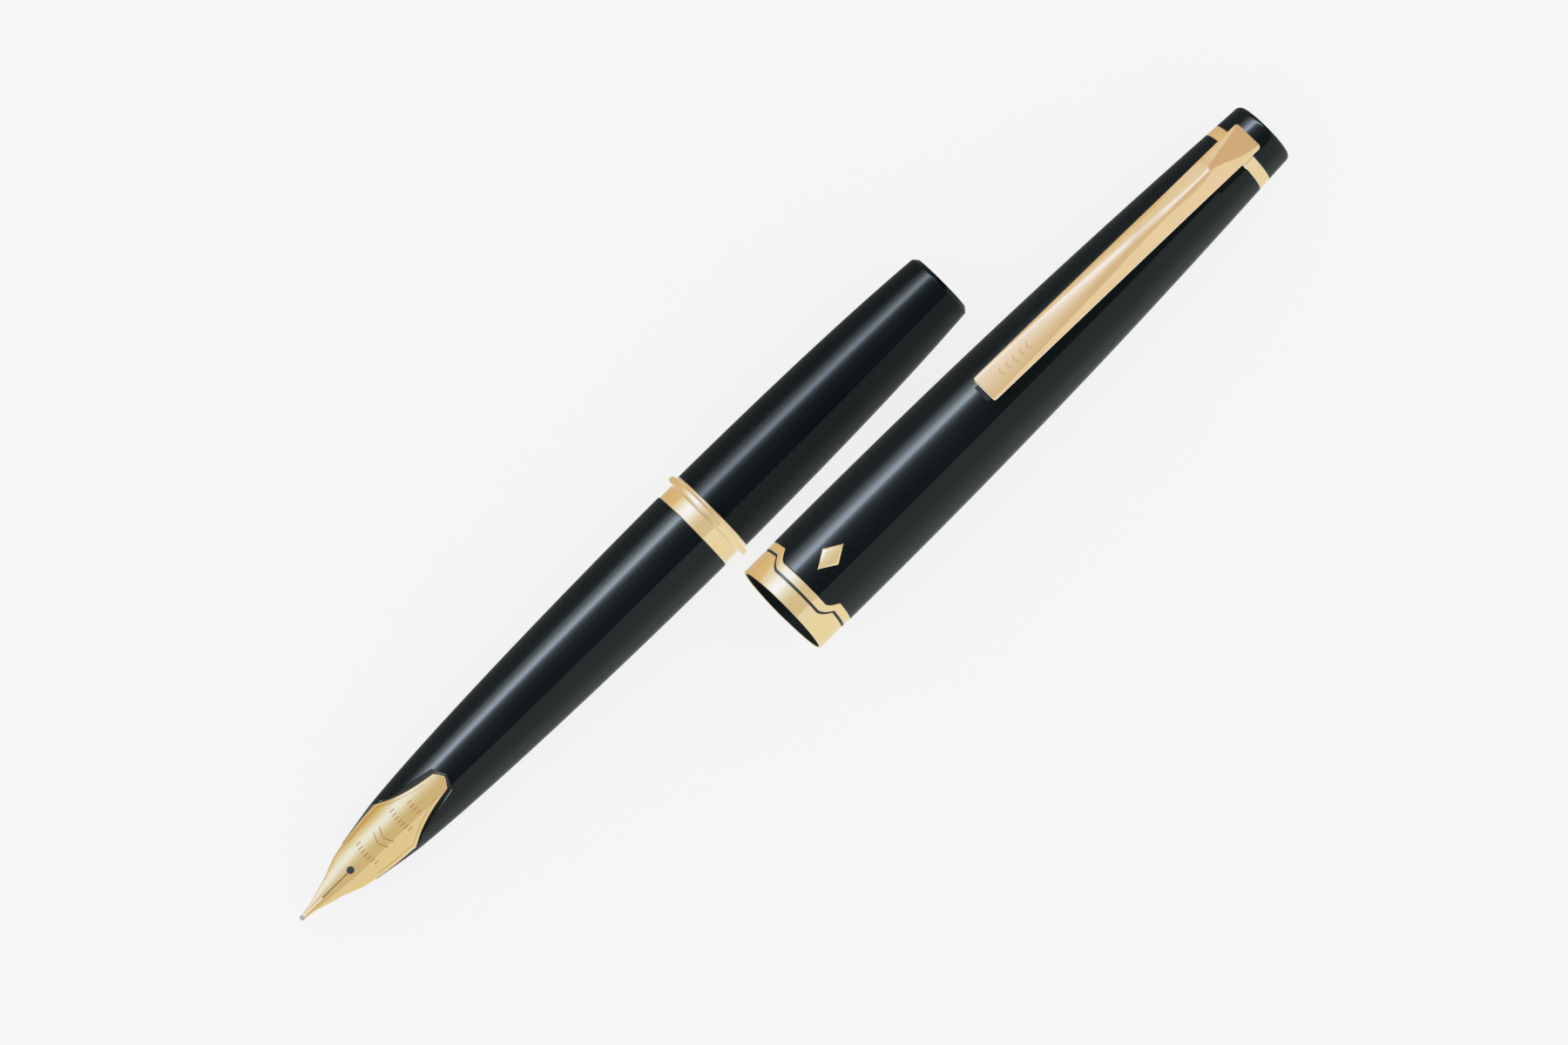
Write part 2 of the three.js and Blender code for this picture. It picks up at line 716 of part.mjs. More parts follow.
// Stations along the clip: x, half width, half width of the top facet, height of the sides and of the top
function clip() {
  const stations = [
    [CLIP_START, 1.5, 1.3, 0.48, 0.55],
    [CLIP_START + 0.4, 1.74, 1.6, 0.67, 0.76],
    [CLIP_RIDGE, 1.95, 0.1, 0.4, 1.43],
    [CLIP_END - 0.4, 2, 1.85, 0.45, 0.6],
    [CLIP_END, 1.75, 1.6, 0.3, 0.38],
  ];
  const bar = loft(stations.map(([x, half, facet, side, top]) => {
    const z = clipUnderside(x);
    return [[x, -half, z], [x, half, z], [x, half, z + side], [x, facet, z + top],
      [x, -facet, z + top], [x, -half, z + side]];
  }));
  const tabTop = clipUnderside(TAB_END) + 0.3;
  const tab = block([TAB_START, -TAB_HALF, TAB_BOTTOM], [TAB_END, TAB_HALF, tabTop]);
  return rolled(bar.add(tab), CLIP_TURN);
}

// The dark foot that bears on the cap: stations as distance from its front, rise of the sole, drop of the top
function clipFoot() {
  const start = CLIP_START - FOOT_AHEAD;
  const sole = radiusAt(CAP_LINE, CLIP_START) + 0.1;
  const stations = [[0, 0.3, 0.2], [0.4, 0, 0], [2, 0, 0], [FOOT_LENGTH, 0.3, 0]];
  const foot = loft(stations.map(([step, rise, drop]) => {
    const [x, bottom, top] = [start + step, sole + rise, clipUnderside(start + step) - FIT / 2 - drop];
    return [[x, -FOOT_HALF, bottom], [x, FOOT_HALF, bottom], [x, FOOT_HALF, top], [x, -FOOT_HALF, top]];
  }));
  return rolled(foot, CLIP_TURN);
}

// ---- Assembly ----

function penHalf() {
  const group = new THREE.Group();
  place(group, 'nib', nib(), NIB_GOLD);
  place(group, 'nib_tip', nibTip(), TIPPING);
  place(group, 'feed', feed(), FEED_BLACK);
  place(group, 'feed_housing', feedHousing(), DARK_PLASTIC);
  place(group, 'ink_nipple', inkNipple(), DARK_PLASTIC);
  place(group, 'section_shell', sectionShell(), BLACK_RESIN);
  place(group, 'section_sleeve', sectionSleeve(), BRASS);
  place(group, 'section_band', sectionBand(), GOLD);
  place(group, 'stop_flange', stopFlange(), GOLD);
  place(group, 'barrel_trim_ring', barrelTrimRing(), GOLD);
  place(group, 'barrel_shell', barrelShell(), BLACK_RESIN);
  place(group, 'barrel_thread_insert', barrelThreadInsert(), BRASS);
  place(group, 'converter_mouth', converterMouth(), DARK_PLASTIC);
  place(group, 'converter_tube', converterTube(), CLEAR);
  place(group, 'converter_sleeve', converterSleeve(), STEEL);
  place(group, 'rod_guide', rodGuide(), WHITE_PLASTIC);
  place(group, 'piston_head', pistonHead(), WHITE_PLASTIC);
  place(group, 'piston_seal', pistonSeal(), RUBBER);
  place(group, 'piston_rod', pistonRod(), WHITE_PLASTIC);
  place(group, 'converter_knob', converterKnob(), DARK_PLASTIC);
  group.rotation.y = -PEN_PITCH * DEGREE;
  return group;
}

function capHalf() {
  const group = new THREE.Group();
  place(group, 'cap_shell', capShell(), BLACK_RESIN);
  place(group, 'cap_band', capBand(), GOLD);
  place(group, 'cap_band_inlay', capBandInlay(), ENAMEL);
  place(group, 'cap_emblem', capEmblem(), GOLD);
  place(group, 'cap_grip_ring', capGripRing(), STEEL);
  place(group, 'inner_cap', innerCap(), DARK_PLASTIC);
  place(group, 'finial_screw', finialScrew(), BRASS);
  place(group, 'clip_ring', clipRing(), GOLD);
  place(group, 'finial', finial(), BLACK_RESIN);
  place(group, 'clip', clip(), GOLD);
  place(group, 'clip_foot', clipFoot(), DARK_PLASTIC);
  group.rotation.y = CAP_PITCH * DEGREE;
  group.position.set(CAP_MOUTH_X, -CAP_SIDE, 0);
  return group;
}

// Lowers a group onto the plane z = 0
function layDown(group) {
  group.position.z -= new THREE.Box3().setFromObject(group, true).min.z;
  return group;
}

const pen = new THREE.Group();
pen.add(layDown(penHalf()), layDown(capHalf()));
const middle = new THREE.Box3().setFromObject(pen, true).getCenter(new THREE.Vector3());
pen.position.set(-middle.x, -middle.y, 0);

export default pen;
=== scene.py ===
import bisect
import json
import math

import bpy
from mathutils import Matrix, Vector


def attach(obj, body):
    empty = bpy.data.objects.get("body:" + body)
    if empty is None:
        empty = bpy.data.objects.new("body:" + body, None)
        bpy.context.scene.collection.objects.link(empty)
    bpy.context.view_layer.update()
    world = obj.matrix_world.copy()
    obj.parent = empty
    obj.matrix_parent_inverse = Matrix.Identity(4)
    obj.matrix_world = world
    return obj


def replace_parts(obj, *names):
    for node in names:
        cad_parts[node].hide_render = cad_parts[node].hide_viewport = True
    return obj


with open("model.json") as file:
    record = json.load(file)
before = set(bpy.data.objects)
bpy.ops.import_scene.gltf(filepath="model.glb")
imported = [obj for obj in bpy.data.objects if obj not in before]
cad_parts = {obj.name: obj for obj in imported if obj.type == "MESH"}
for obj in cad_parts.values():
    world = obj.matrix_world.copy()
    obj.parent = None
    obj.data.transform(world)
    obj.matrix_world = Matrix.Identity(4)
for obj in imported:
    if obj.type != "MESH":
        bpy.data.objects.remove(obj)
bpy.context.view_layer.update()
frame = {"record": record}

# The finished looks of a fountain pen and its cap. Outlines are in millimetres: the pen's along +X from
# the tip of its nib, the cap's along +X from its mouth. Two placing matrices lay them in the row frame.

# ---- Driving dimensions ----

MM = 0.001
ROUND = 128                       # facets round the outer pieces
INSIDE = 64                       # facets round the pieces inside
BAND_FACETS = 256                 # facets round the pieces that meet the band's step
THREAD_FACETS = 96                # facets round the threads, and round the converter's sleeve
ROD_FACETS = 32
SHARP = math.radians(28)          # edges above this angle stay crisp

# Pen
LIP_START = 9.5
NIB_SHOULDER = 15.5
NIB_CORNER = 22.83
NIB_END = 23.55
NIB_THICKNESS = 0.35
NIB_EDGE = 0.07                   # chamfer along the nib's edges, the slit and the hole
BREATHER_X = 8.17
BREATHER_R = 0.46
SLIT_HALF = 0.05
FEED_START = 3.6
FEED_END = 34
FEED_R = 2.15
SECTION_END = 64.3
SLEEVE_R = 4.4
SLEEVE_BORE = 3.95
THREAD_START = 68.4
THREAD_END = 74.5
THREAD_PITCH = 0.8
BAND_START = 64.35
BAND_END = 66.3
FLANGE_START = 66.5
FLANGE_END = 67.28
FLANGE_R = 6.24
TRIM_START = 67.36
TRIM_END = 67.55
TRIM_R = 5.7
BARREL_START = 67.62
BARREL_END = 105.3

# Converter
TUBE_START = 43.6
TUBE_END = 66
TUBE_R = 3.25
TUBE_BORE = 2.75
PISTON_START = 45.4
PISTON_END = 48.2
STEM_START = 70
KNOB_START = 81.3
KNOB_END = 94
KNOB_R = 3.4
KNOB_FLUTES = 24
FLUTE_DEPTH = 0.16

# Cap
MOUTH_BORE = 5.66
BORE_DEPTH = 0.4                  # below the outer line, where the cap's faces count as inside and take the painted shade of the bore
BAND_BORE = 6.05
BAND_LOW = 3.5
BAND_HIGH = 4.9
BAND_STEP = (33.5, 46)            # degrees from the band's front where its top rises
INLAY_LOW = 2.28
INLAY_HIGH = 3.68
INLAY_STEP = (32.5, 48)
INLAY_HALF = 0.19
INLAY_DEPTH = 0.1
BAND_TURN = 4.5                   # degrees from the top of the cap to the band's front
GRIP_START = 14
GRIP_END = 22
GRIP_SLITS = (60, 180, 300)       # degrees from the top of the cap
LINER_START = 32
LINER_END = 69.6
LINER_FLOOR = 68.4
CAP_TOP = 74.72
SLOT_START = 70.4
SLOT_LEFT = -2.45
SLOT_RIGHT = 1.95
RING_START = 74.82
RING_END = 76.27
FINIAL_START = 76.37
FINIAL_END = 79.96
FINIAL_EDGE = 0.7
SPIGOT_R = 3
SCREW_START = 67.2
SCREW_NECK = 68.3
SCREW_END = 77.8

# Clip
CLIP_TURN = 11.5
CLIP_SKEW = 0.3                   # degrees that the free end leans towards +Y
CLIP_PIVOT = 74
CLIP_START = 34.16
CLIP_RIDGE = 71.3                 # where the long flat has narrowed to a ridge
CLIP_END = 77.6
CLIP_LIFT = 0.85
CLIP_ROOT_Z = 4.76
TAB_START = 71.3
TAB_END = 74
TAB_HALF = 1.25
TAB_FLOOR = 3.4
FOOT_AHEAD = 0.55                 # how far the foot shows in front of the free end
FOOT_LENGTH = 3.6
FOOT_HALF = 1.07
FOOT_GAP = 0.1                    # between the foot's sole and the cap

# Floor and light, in metres. The tables give (angle, radiance) round the pen, with the angle in degrees
# from straight up, positive towards -Y.
FLOOR_SIZE = 8
FLOOR_GLOW = 0.832
ROOM_GLOW = 0.9
CARD_COLUMNS = (-4, 0.27, 0.34, 4)  # stations along the sheets of light
CARD_STEPS = 8                    # strips between two angles of a table
LIGHT_EDGE = 32.5                 # where the overhead light ends on the -Y side
METAL_CARD_R = 0.9
METAL_FAR = (0.76, 0.69, 0.64)    # overhead past the light's end, towards +X
METAL_LIGHT = (
    (-180, (0.72, 0.60, 0.46)), (-144, (0.76, 0.65, 0.51)), (-97, (0.85, 0.76, 0.56)),
    (-83.4, (0.86, 0.79, 0.61)), (-83, (0.89, 0.94, 1.05)), (-77, (0.91, 1.01, 1.18)),
    (-67, (0.97, 1.16, 1.55)), (-57, (1.07, 1.37, 2.33)), (-42, (1.10, 1.47, 2.83)),
    (-35, (1.05, 1.38, 2.47)), (-23, (0.96, 1.13, 1.61)), (-11.5, (0.85, 0.93, 1.08)),
    (0, (0.80, 0.80, 0.81)), (32.4, (0.80, 0.80, 0.79)), (32.6, (0.96, 1.05, 1.19)),
    (60, (0.96, 1.04, 1.10)), (116, (0.98, 1.04, 1.03)), (180, (0.90, 0.90, 0.84)),
)
DARK_CARD_R = 0.96
DARK_LIGHT = (
    (-180, (0.15, 0.16, 0.16)), (-106, (0.16, 0.17, 0.16)), (-84, (0.20, 0.21, 0.20)),
    (-74, (0.50, 0.62, 0.67)), (-60, (2.4, 2.8, 2.95)), (-51, (5.8, 6.4, 7.1)), (-43.5, (7.0, 8.4, 10.3)),
    (-37, (2.4, 2.9, 3.3)), (-30, (0.88, 1.05, 1.20)), (-23, (0.46, 0.54, 0.58)),
    (-11.5, (0.22, 0.27, 0.28)), (11.5, (0.10, 0.13, 0.14)), (32.4, (0.09, 0.12, 0.12)),
    (32.6, (0.45, 0.53, 0.52)), (74, (0.50, 0.56, 0.55)), (106, (0.62, 0.69, 0.66)),
    (134, (0.40, 0.43, 0.43)), (180, (0.30, 0.32, 0.32)),
)

# Camera
CAMERA_LEAN = math.radians(4.5)   # from straight up towards the nib
CAMERA_ROLL = math.radians(44.8)  # from the picture's horizontal up to the pen
CAMERA_DISTANCE = 2.0
CAMERA_LENS = 394
CAMERA_SENSOR = 36
CAMERA_TARGET = Vector((-0.00006, 0.00018, 0.0065))


# ---- Outlines ----

def curve(*corners, steps=240):
    """Points (x, r) along a cubic Bezier line."""
    a, b, c, d = (Vector(corner) for corner in corners)
    points = []
    for i in range(steps + 1):
        t = i / steps
        s = 1 - t
        points.append(tuple(a * s**3 + b * 3 * s * s * t + c * 3 * s * t * t + d * t**3))
    return points


SECTION_LINE = curve((15.5, 3.85), (25.3, 4.88), (47.2, 5.52), (64.3, 5.55))
BARREL_LINE = curve((67.62, 5.62), (80.5, 5.54), (93.6, 5.28), (104.8, 4.41))
CAP_LINE = curve((0, 6.27), (31.75, 6.57), (55.5, 5.63), (79.3, 4.2))


def value_at(line, x):
    """Height of a line of (x, value) points, carried on straight past its ends."""
    after = min(max(bisect.bisect_left(line, (x,)), 1), len(line) - 1)
    (x0, v0), (x1, v1) = line[after - 1], line[after]
    return v0 + (v1 - v0) * (x - x0) / (x1 - x0)


def smooth_at(line, x):
    """Height of a smooth line through (x, value) points."""
    after = min(max(bisect.bisect_left(line, (x,)), 1), len(line) - 1)
    (x0, v0), (x1, v1) = line[after - 1], line[after]
    before = line[max(after - 2, 0)]
    beyond = line[min(after + 1, len(line) - 1)]
    slope0 = (v1 - before[1]) / (x1 - before[0])
    slope1 = (beyond[1] - v0) / (beyond[0] - x0)
    length = x1 - x0
    t = (x - x0) / length
    rise = t * t * (3 - 2 * t)
    swing = length * (slope0 * t * (1 - t) ** 2 - slope1 * t * t * (1 - t))
    return v0 + (v1 - v0) * rise + swing


def spread(start, end, count):
    """Evenly spaced values, both ends included."""
    return [start + (end - start) * i / count for i in range(count + 1)]


def follow(line, start, end, count, inset=0):
    """Points (x, r) of a line between two distances."""
    return [(x, value_at(line, x) - inset) for x in spread(start, end, count)]


def arc_between(here, before, after, radius, steps=4):
    """The rounding of a corner between its two neighbours."""
    here = Vector(here)
    back = (Vector(before) - here).normalized()
    ahead = (Vector(after) - here).normalized()
    half = back.angle(ahead) / 2
    centre = here + (back + ahead).normalized() * radius / math.sin(half)
    first = here + back * radius / math.tan(half) - centre
    last = here + ahead * radius / math.tan(half) - centre
    sweep = math.pi - 2 * half
    points = []
    for i in range(steps + 1):
        t = i / steps
        mixed = first * math.sin((1 - t) * sweep) + last * math.sin(t * sweep)
        points.append(tuple(centre + mixed / math.sin(sweep)))
    return points


def rounded(outline):
    """An outline whose corners (x, r, radius) have become arcs. Corners (x, r) stay as they are."""
    points = []
    for i, corner in enumerate(outline):
        if len(corner) == 2:
            points.append(tuple(corner))
            continue
        after = outline[(i + 1) % len(outline)]
        points += arc_between(corner[:2], outline[i - 1][:2], after[:2], corner[2])
    return points


def eased(corner, before, after, back_reach, ahead_reach, steps=6):
    """A soft corner that reaches some way back and some way ahead, but never past half a side."""
    corner = Vector(corner)
    back, ahead = Vector(before) - corner, Vector(after) - corner
    start = corner + back * min(0.48, back_reach / back.length)
    end = corner + ahead * min(0.48, ahead_reach / ahead.length)
    points = []
    for t in spread(0, 1, steps):
        points.append(tuple(start * (1 - t) ** 2 + corner * 2 * t * (1 - t) + end * t * t))
    return points


# ---- Solids, as (vertices, faces) ----

def band(first, second):
    """Faces between two closed rings of indices, either of which may be a single point."""
    count = max(len(first), len(second))
    faces = []
    for i in range(count):
        j = (i + 1) % count
        corners = (first[i % len(first)], first[j % len(first)],
                   second[j % len(second)], second[i % len(second)])
        faces.append(tuple(dict.fromkeys(corners)))
    return faces


def turned(outline, facets=ROUND, relief=None):
    """An outline of (x, r) points turned about X. relief(x, r, angle) is added to the radius."""
    vertices, rings = [], []
    for x, r in outline:
        start = len(vertices)
        if r == 0:
            vertices.append((x, 0, 0))
        else:
            for i in range(facets):
                angle = 2 * math.pi * i / facets
                radius = r + (relief(x, r, angle) if relief else 0)
                vertices.append((x, radius * math.sin(angle), radius * math.cos(angle)))
        rings.append(range(start, len(vertices)))
    pairs = list(zip(rings, rings[1:]))
    if outline[0][1] > 0:
        pairs.append((rings[-1], rings[0]))
    return vertices, [face for first, second in pairs for face in band(first, second)]


def hoop(section_at, facets=BAND_FACETS):
    """A ring about X whose closed (x, r) section changes with the angle."""
    vertices, rings = [], []
    for i in range(facets):
        angle = 2 * math.pi * i / facets
        section = section_at(angle)
        rings.append(range(len(vertices), len(vertices) + len(section)))
        vertices += [(x, r * math.sin(angle), r * math.cos(angle)) for x, r in section]
    pairs = zip(rings, rings[1:] + rings[:1])
    return vertices, [face for first, second in pairs for face in band(first, second)]


def loft(loops):
    """A solid through closed loops of points, with a flat face at both ends."""
    count = len(loops[0])
    rings = [range(i * count, (i + 1) * count) for i in range(len(loops))]
    faces = [face for first, second in zip(rings, rings[1:]) for face in band(first, second)]
    return [point for loop in loops for point in loop], faces + [tuple(rings[0]), tuple(rings[-1])]


def mirrored(solid):
    """A half solid and its mirror image in y = 0, joined where they meet."""
    vertices, faces = solid
    near = 1e-5
    merged, places = [], {}

    def shared(x, y, z):
        key = (round(x, 5), round(y, 5), round(z, 5))
        if key not in places:
            places[key] = len(merged)
            merged.append((x, y, z))
        return places[key]

    both = []
    for side in (1, -1):
        index = [shared(x, 0 if abs(y) < near else side * y, z) for x, y, z in vertices]
        for face in faces:
            if all(abs(vertices[i][1]) < near for i in face):
                continue
            corners = tuple(dict.fromkeys(index[i] for i in face))
            if len(corners) > 2:
                both.append(corners)
    return merged, both


def joined(*solids):
    """Several solids in one mesh."""
    vertices, faces = [], []
    for more_vertices, more_faces in solids:
        start = len(vertices)
        vertices += more_vertices
        faces += [tuple(i + start for i in face) for face in more_faces]
    return vertices, faces


def block(low, high):
    """A box between two corners."""
    (x0, y0, z0), (x1, y1, z1) = low, high
    return loft([[(x, y0, z0), (x, y1, z0), (x, y1, z1), (x, y0, z1)] for x in (x0, x1)])


def stroke(path, width, height_at, rise=0.02, sink=0.05):
    """A fine closed ribbon that follows (x, y) points over a surface."""
    loops = []
    for i, here in enumerate(path):
        back, ahead = path[max(i - 1, 0)], path[min(i + 1, len(path) - 1)]
        way = (Vector(ahead) - Vector(back)).normalized()
        side = Vector((-way.y, way.x)) * width / 2
        left, right = Vector(here) + side, Vector(here) - side
        tops = [(p.x, p.y, height_at(p.x, p.y) + rise) for p in (left, right)]
        feet = [(p.x, p.y, height_at(p.x, p.y) - sink) for p in (right, left)]
        loops.append(tops + feet)
    return loft(loops)


# ---- Placing ----

def laid(mount, length):
    """From millimetres along a half's axis to the row frame, by the mount on that half's far end."""
    found = next(m for m in frame["record"]["mounts"] if m["name"] == mount)
    along = Vector(found["axis"]).normalized()
    side = Vector((0, 1, 0))
    turn = Matrix((along, side, along.cross(side))).transposed().to_4x4()
    origin = Vector(found["pos_m"]) - along * length * MM
    return Matrix.Translation(origin) @ turn @ Matrix.Scale(MM, 4)


PEN = laid("barrel_tail", BARREL_END)
CAP = laid("cap_top", FINIAL_END)
CAP_FRONT = CAP @ Matrix.Rotation(math.radians(-BAND_TURN), 4, "X")
CLIP = CAP @ Matrix.Rotation(math.radians(-CLIP_TURN), 4, "X") @ Matrix.Translation((CLIP_PIVOT, 0, 0)) \
    @ Matrix.Rotation(math.radians(-CLIP_SKEW), 4, "Z") @ Matrix.Translation((-CLIP_PIVOT, 0, 0))

SLOTS = {part["node"]: part["material_slot"] for part in frame["record"]["subparts"]}
BODIES = {node: body for body, nodes in frame["record"]["behaviour"]["bodies"].items() for node in nodes}
# Finishes that differ from the one of the piece's slot. The grip ring's darkened steel is painted shade
# inside the cap.
FINISHES = {"barrel_shell": "barrel_resin", "cap_grip_ring": "painted_shade_steel", "clip": "clip_gold"}
materials = {}                    # by slot or finish
pieces = []                       # every finished piece, as (object, slot)


def mesh_object(name, solid, place):
    """A smooth-shaded mesh object whose normals point out."""
    vertices, faces = solid
    mesh = bpy.data.meshes.new(name)
    mesh.from_pydata([place @ Vector(v) for v in vertices], [], faces)
    mesh.validate()
    obj = bpy.data.objects.new(name, mesh)
    bpy.context.scene.collection.objects.link(obj)
    bpy.context.view_layer.objects.active = obj
    bpy.ops.object.mode_set(mode="EDIT")
    bpy.ops.mesh.select_all(action="SELECT")
    bpy.ops.mesh.normals_make_consistent(inside=False)
    bpy.ops.object.mode_set(mode="OBJECT")
    mesh.shade_smooth()
    mesh.set_sharp_from_angle(angle=SHARP)
    return obj


def finer(build, place):
    """A finer mesh that stands for the CAD node of its function's name."""
    node = build.__name__
    obj = detail(f"{node}_fine", node, build(), place, finish=FINISHES.get(node))
    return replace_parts(obj, node)


def detail(name, node, solid, place, bevel=0, finish=None):
    """A piece with the body of a CAD node, and its finish unless another is named."""
    obj = mesh_object(name, solid, place)
    obj.data.materials.append(materials[finish or SLOTS[node]])
    pieces.append((obj, SLOTS[node]))
    if bevel:
        edges = obj.modifiers.new("edges", "BEVEL")
        edges.width = bevel * MM
        edges.segments = 3
        edges.limit_method = "ANGLE"
        edges.angle_limit = SHARP
        edges.harden_normals = True
    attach(obj, BODIES[node])
    return obj


def carve(obj, solid, place):
    """Cuts a solid out of a piece."""
    tool = mesh_object("cutter", solid, place)
    cut = obj.modifiers.new("cut", "BOOLEAN")
    cut.operation = "DIFFERENCE"
    cut.solver = "EXACT"
    cut.object = tool
    evaluated = obj.evaluated_get(bpy.context.evaluated_depsgraph_get())
    mesh = bpy.data.meshes.new_from_object(evaluated)
    obj.modifiers.remove(cut)
    obj.data = mesh
    bpy.data.objects.remove(tool)
    mesh.set_sharp_from_angle(angle=SHARP)


def coat(obj, place, finish, depth):
    """Another finish, a matte near-black, for the faces of the cap that lie at some depth under its outer
    line: painted shade inside the cap, in place of the resin's reflections.
    """
    obj.data.materials.append(materials[finish])
    back = place.inverted()
    for face in obj.data.polygons:
        x, y, z = back @ face.center
        if math.hypot(y, z) < cap_radius(x) - depth:
            face.material_index = 1


# ---- Materials ----

NOISE_REACH = (0.3, 0.7)          # where most of a noise's values lie


def start_material(slot, color, roughness, metallic=0.0, **values):
    """A new Principled material: its tree and its shader."""
    material = bpy.data.materials.new(slot)
    material.use_nodes = True
    materials[slot] = material
    tree = material.node_tree
    shader = tree.nodes["Principled BSDF"]
    shader.inputs["Base Color"].default_value = (*color, 1)
    shader.inputs["Roughness"].default_value = roughness
    shader.inputs["Metallic"].default_value = metallic
    for name, value in values.items():
        shader.inputs[name.replace("_", " ")].default_value = value
    return tree, shader


def grain(tree, scale, stretch=(1, 1, 1), detail_level=3):
    """The noise of a place on the piece: scale is per metre, stretch by axis."""
    place = tree.nodes.new("ShaderNodeTexCoord")
    mapping = tree.nodes.new("ShaderNodeMapping")
    mapping.inputs["Scale"].default_value = stretch
    noise = tree.nodes.new("ShaderNodeTexNoise")
    noise.inputs["Scale"].default_value = scale
    noise.inputs["Detail"].default_value = detail_level
    tree.links.new(place.outputs["Object"], mapping.inputs["Vector"])
    tree.links.new(mapping.outputs["Vector"], noise.inputs["Vector"])
    return noise.outputs["Fac"]


def ranged(tree, value, low, high):
    """A noise's value brought into a range."""
    node = tree.nodes.new("ShaderNodeMapRange")
    node.inputs["From Min"].default_value, node.inputs["From Max"].default_value = NOISE_REACH
    node.inputs["To Min"].default_value = low
    node.inputs["To Max"].default_value = high
    tree.links.new(value, node.inputs["Value"])
    return node.outputs["Result"]


def ramp(tree, value, *stops):
    """A colour for a value from (position, colour) stops."""
    node = tree.nodes.new("ShaderNodeValToRGB")
    elements = node.color_ramp.elements
    while len(elements) < len(stops):
        elements.new(0.5)
    for element, (position, color) in zip(elements, stops):
        element.position = position
        element.color = (*color, 1)
    tree.links.new(value, node.inputs["Fac"])
    return node.outputs["Color"]


def bump(tree, shader, value, depth):
    """Fine relief: depth is in metres."""
    node = tree.nodes.new("ShaderNodeBump")
    node.inputs["Distance"].default_value = depth
    tree.links.new(value, node.inputs["Height"])
    tree.links.new(node.outputs["Normal"], shader.inputs["Normal"])


def resin_material(slot, gloss):
    tree, shader = start_material(slot, (0.0016, 0.0026, 0.0028), 0.05, Specular_IOR_Level=gloss)
    depth = ramp(tree, grain(tree, 90), (0.35, (0.0013, 0.0022, 0.0024)), (0.65, (0.0019, 0.0030, 0.0032)))
    tree.links.new(depth, shader.inputs["Base Color"])
    tree.links.new(ranged(tree, grain(tree, 700), 0.035, 0.065), shader.inputs["Roughness"])


def gold_material(slot, pale, deep, roughness, coat=0.0):
    tree, shader = start_material(slot, pale, roughness, 1.0, Coat_Weight=coat, Coat_Roughness=roughness)
    tone = ramp(tree, grain(tree, 160), (0.3, deep), (0.7, pale))
    tree.links.new(tone, shader.inputs["Base Color"])
    fine = grain(tree, 900, (1, 6, 6))
    tree.links.new(ranged(tree, fine, roughness * 0.8, roughness * 1.25), shader.inputs["Roughness"])


def lathed_metal(slot, pale, deep, roughness):
    """Metal with fine lines round it from turning."""
    tree, shader = start_material(slot, pale, roughness, 1.0)
    lines = grain(tree, 600, (14, 0.3, 0.3), 5)
    tree.links.new(ramp(tree, lines, (0.3, deep), (0.7, pale)), shader.inputs["Base Color"])
    tree.links.new(ranged(tree, lines, roughness * 0.7, roughness * 1.4), shader.inputs["Roughness"])
    bump(tree, shader, lines, 0.00001)


def moulded(slot, pale, deep, roughness, depth=0.00002, gloss=0.5):
    """Plastic or rubber with the fine skin of its mould."""
    tree, shader = start_material(slot, pale, roughness, Specular_IOR_Level=gloss)
    skin = grain(tree, 2600, detail_level=4)
    tree.links.new(ramp(tree, grain(tree, 220), (0.3, deep), (0.7, pale)), shader.inputs["Base Color"])
    tree.links.new(ranged(tree, skin, roughness * 0.85, roughness * 1.15), shader.inputs["Roughness"])
    bump(tree, shader, skin, depth)


def clear_material():
    tree, shader = start_material("clear_plastic", (0.93, 0.96, 0.98), 0.04, IOR=1.49,
                                  Transmission_Weight=1.0)
    tree.links.new(ranged(tree, grain(tree, 500), 0.02, 0.08), shader.inputs["Roughness"])


def make_materials():
    resin_material("black_resin", 0.5)
    resin_material("barrel_resin", 0.3)
    # bore: matte near-black, painted shade for the faces inside the cap
    moulded("bore", (0.010, 0.011, 0.011), (0.006, 0.007, 0.007), 0.6, gloss=0.05)
    gold_material("gold_trim", (0.84, 0.63, 0.33), (0.82, 0.61, 0.31), 0.11)
    gold_material("clip_gold", (0.83, 0.57, 0.275), (0.81, 0.55, 0.255), 0.05, 1.0)
    gold_material("nib_gold", (0.76, 0.535, 0.215), (0.74, 0.515, 0.20), 0.06, 1.0)
    gold_material("engraving", (0.50, 0.28, 0.09), (0.44, 0.23, 0.07), 0.3)
    gold_material("clip_engraving", (0.70, 0.47, 0.21), (0.64, 0.42, 0.18), 0.3)
    lathed_metal("tipping", (0.42, 0.38, 0.33), (0.34, 0.31, 0.27), 0.22)
    lathed_metal("steel", (0.66, 0.67, 0.69), (0.57, 0.58, 0.60), 0.2)
    # Steel darkened as painted shade, for the grip ring deep inside the cap
    lathed_metal("painted_shade_steel", (0.13, 0.13, 0.14), (0.09, 0.09, 0.10), 0.35)
    lathed_metal("brass", (0.66, 0.49, 0.22), (0.56, 0.41, 0.17), 0.28)
    moulded("enamel", (0.020, 0.023, 0.025), (0.013, 0.015, 0.017), 0.3, 0.000004)
    moulded("feed_plastic", (0.06, 0.07, 0.095), (0.045, 0.052, 0.07), 0.42)
    moulded("dark_plastic", (0.016, 0.017, 0.018), (0.010, 0.011, 0.012), 0.38, gloss=0.15)
    moulded("pale_plastic", (0.74, 0.74, 0.69), (0.68, 0.68, 0.63), 0.42)
    moulded("seal_rubber", (0.026, 0.026, 0.026), (0.017, 0.017, 0.018), 0.75)
    clear_material()


# ---- Nib ----

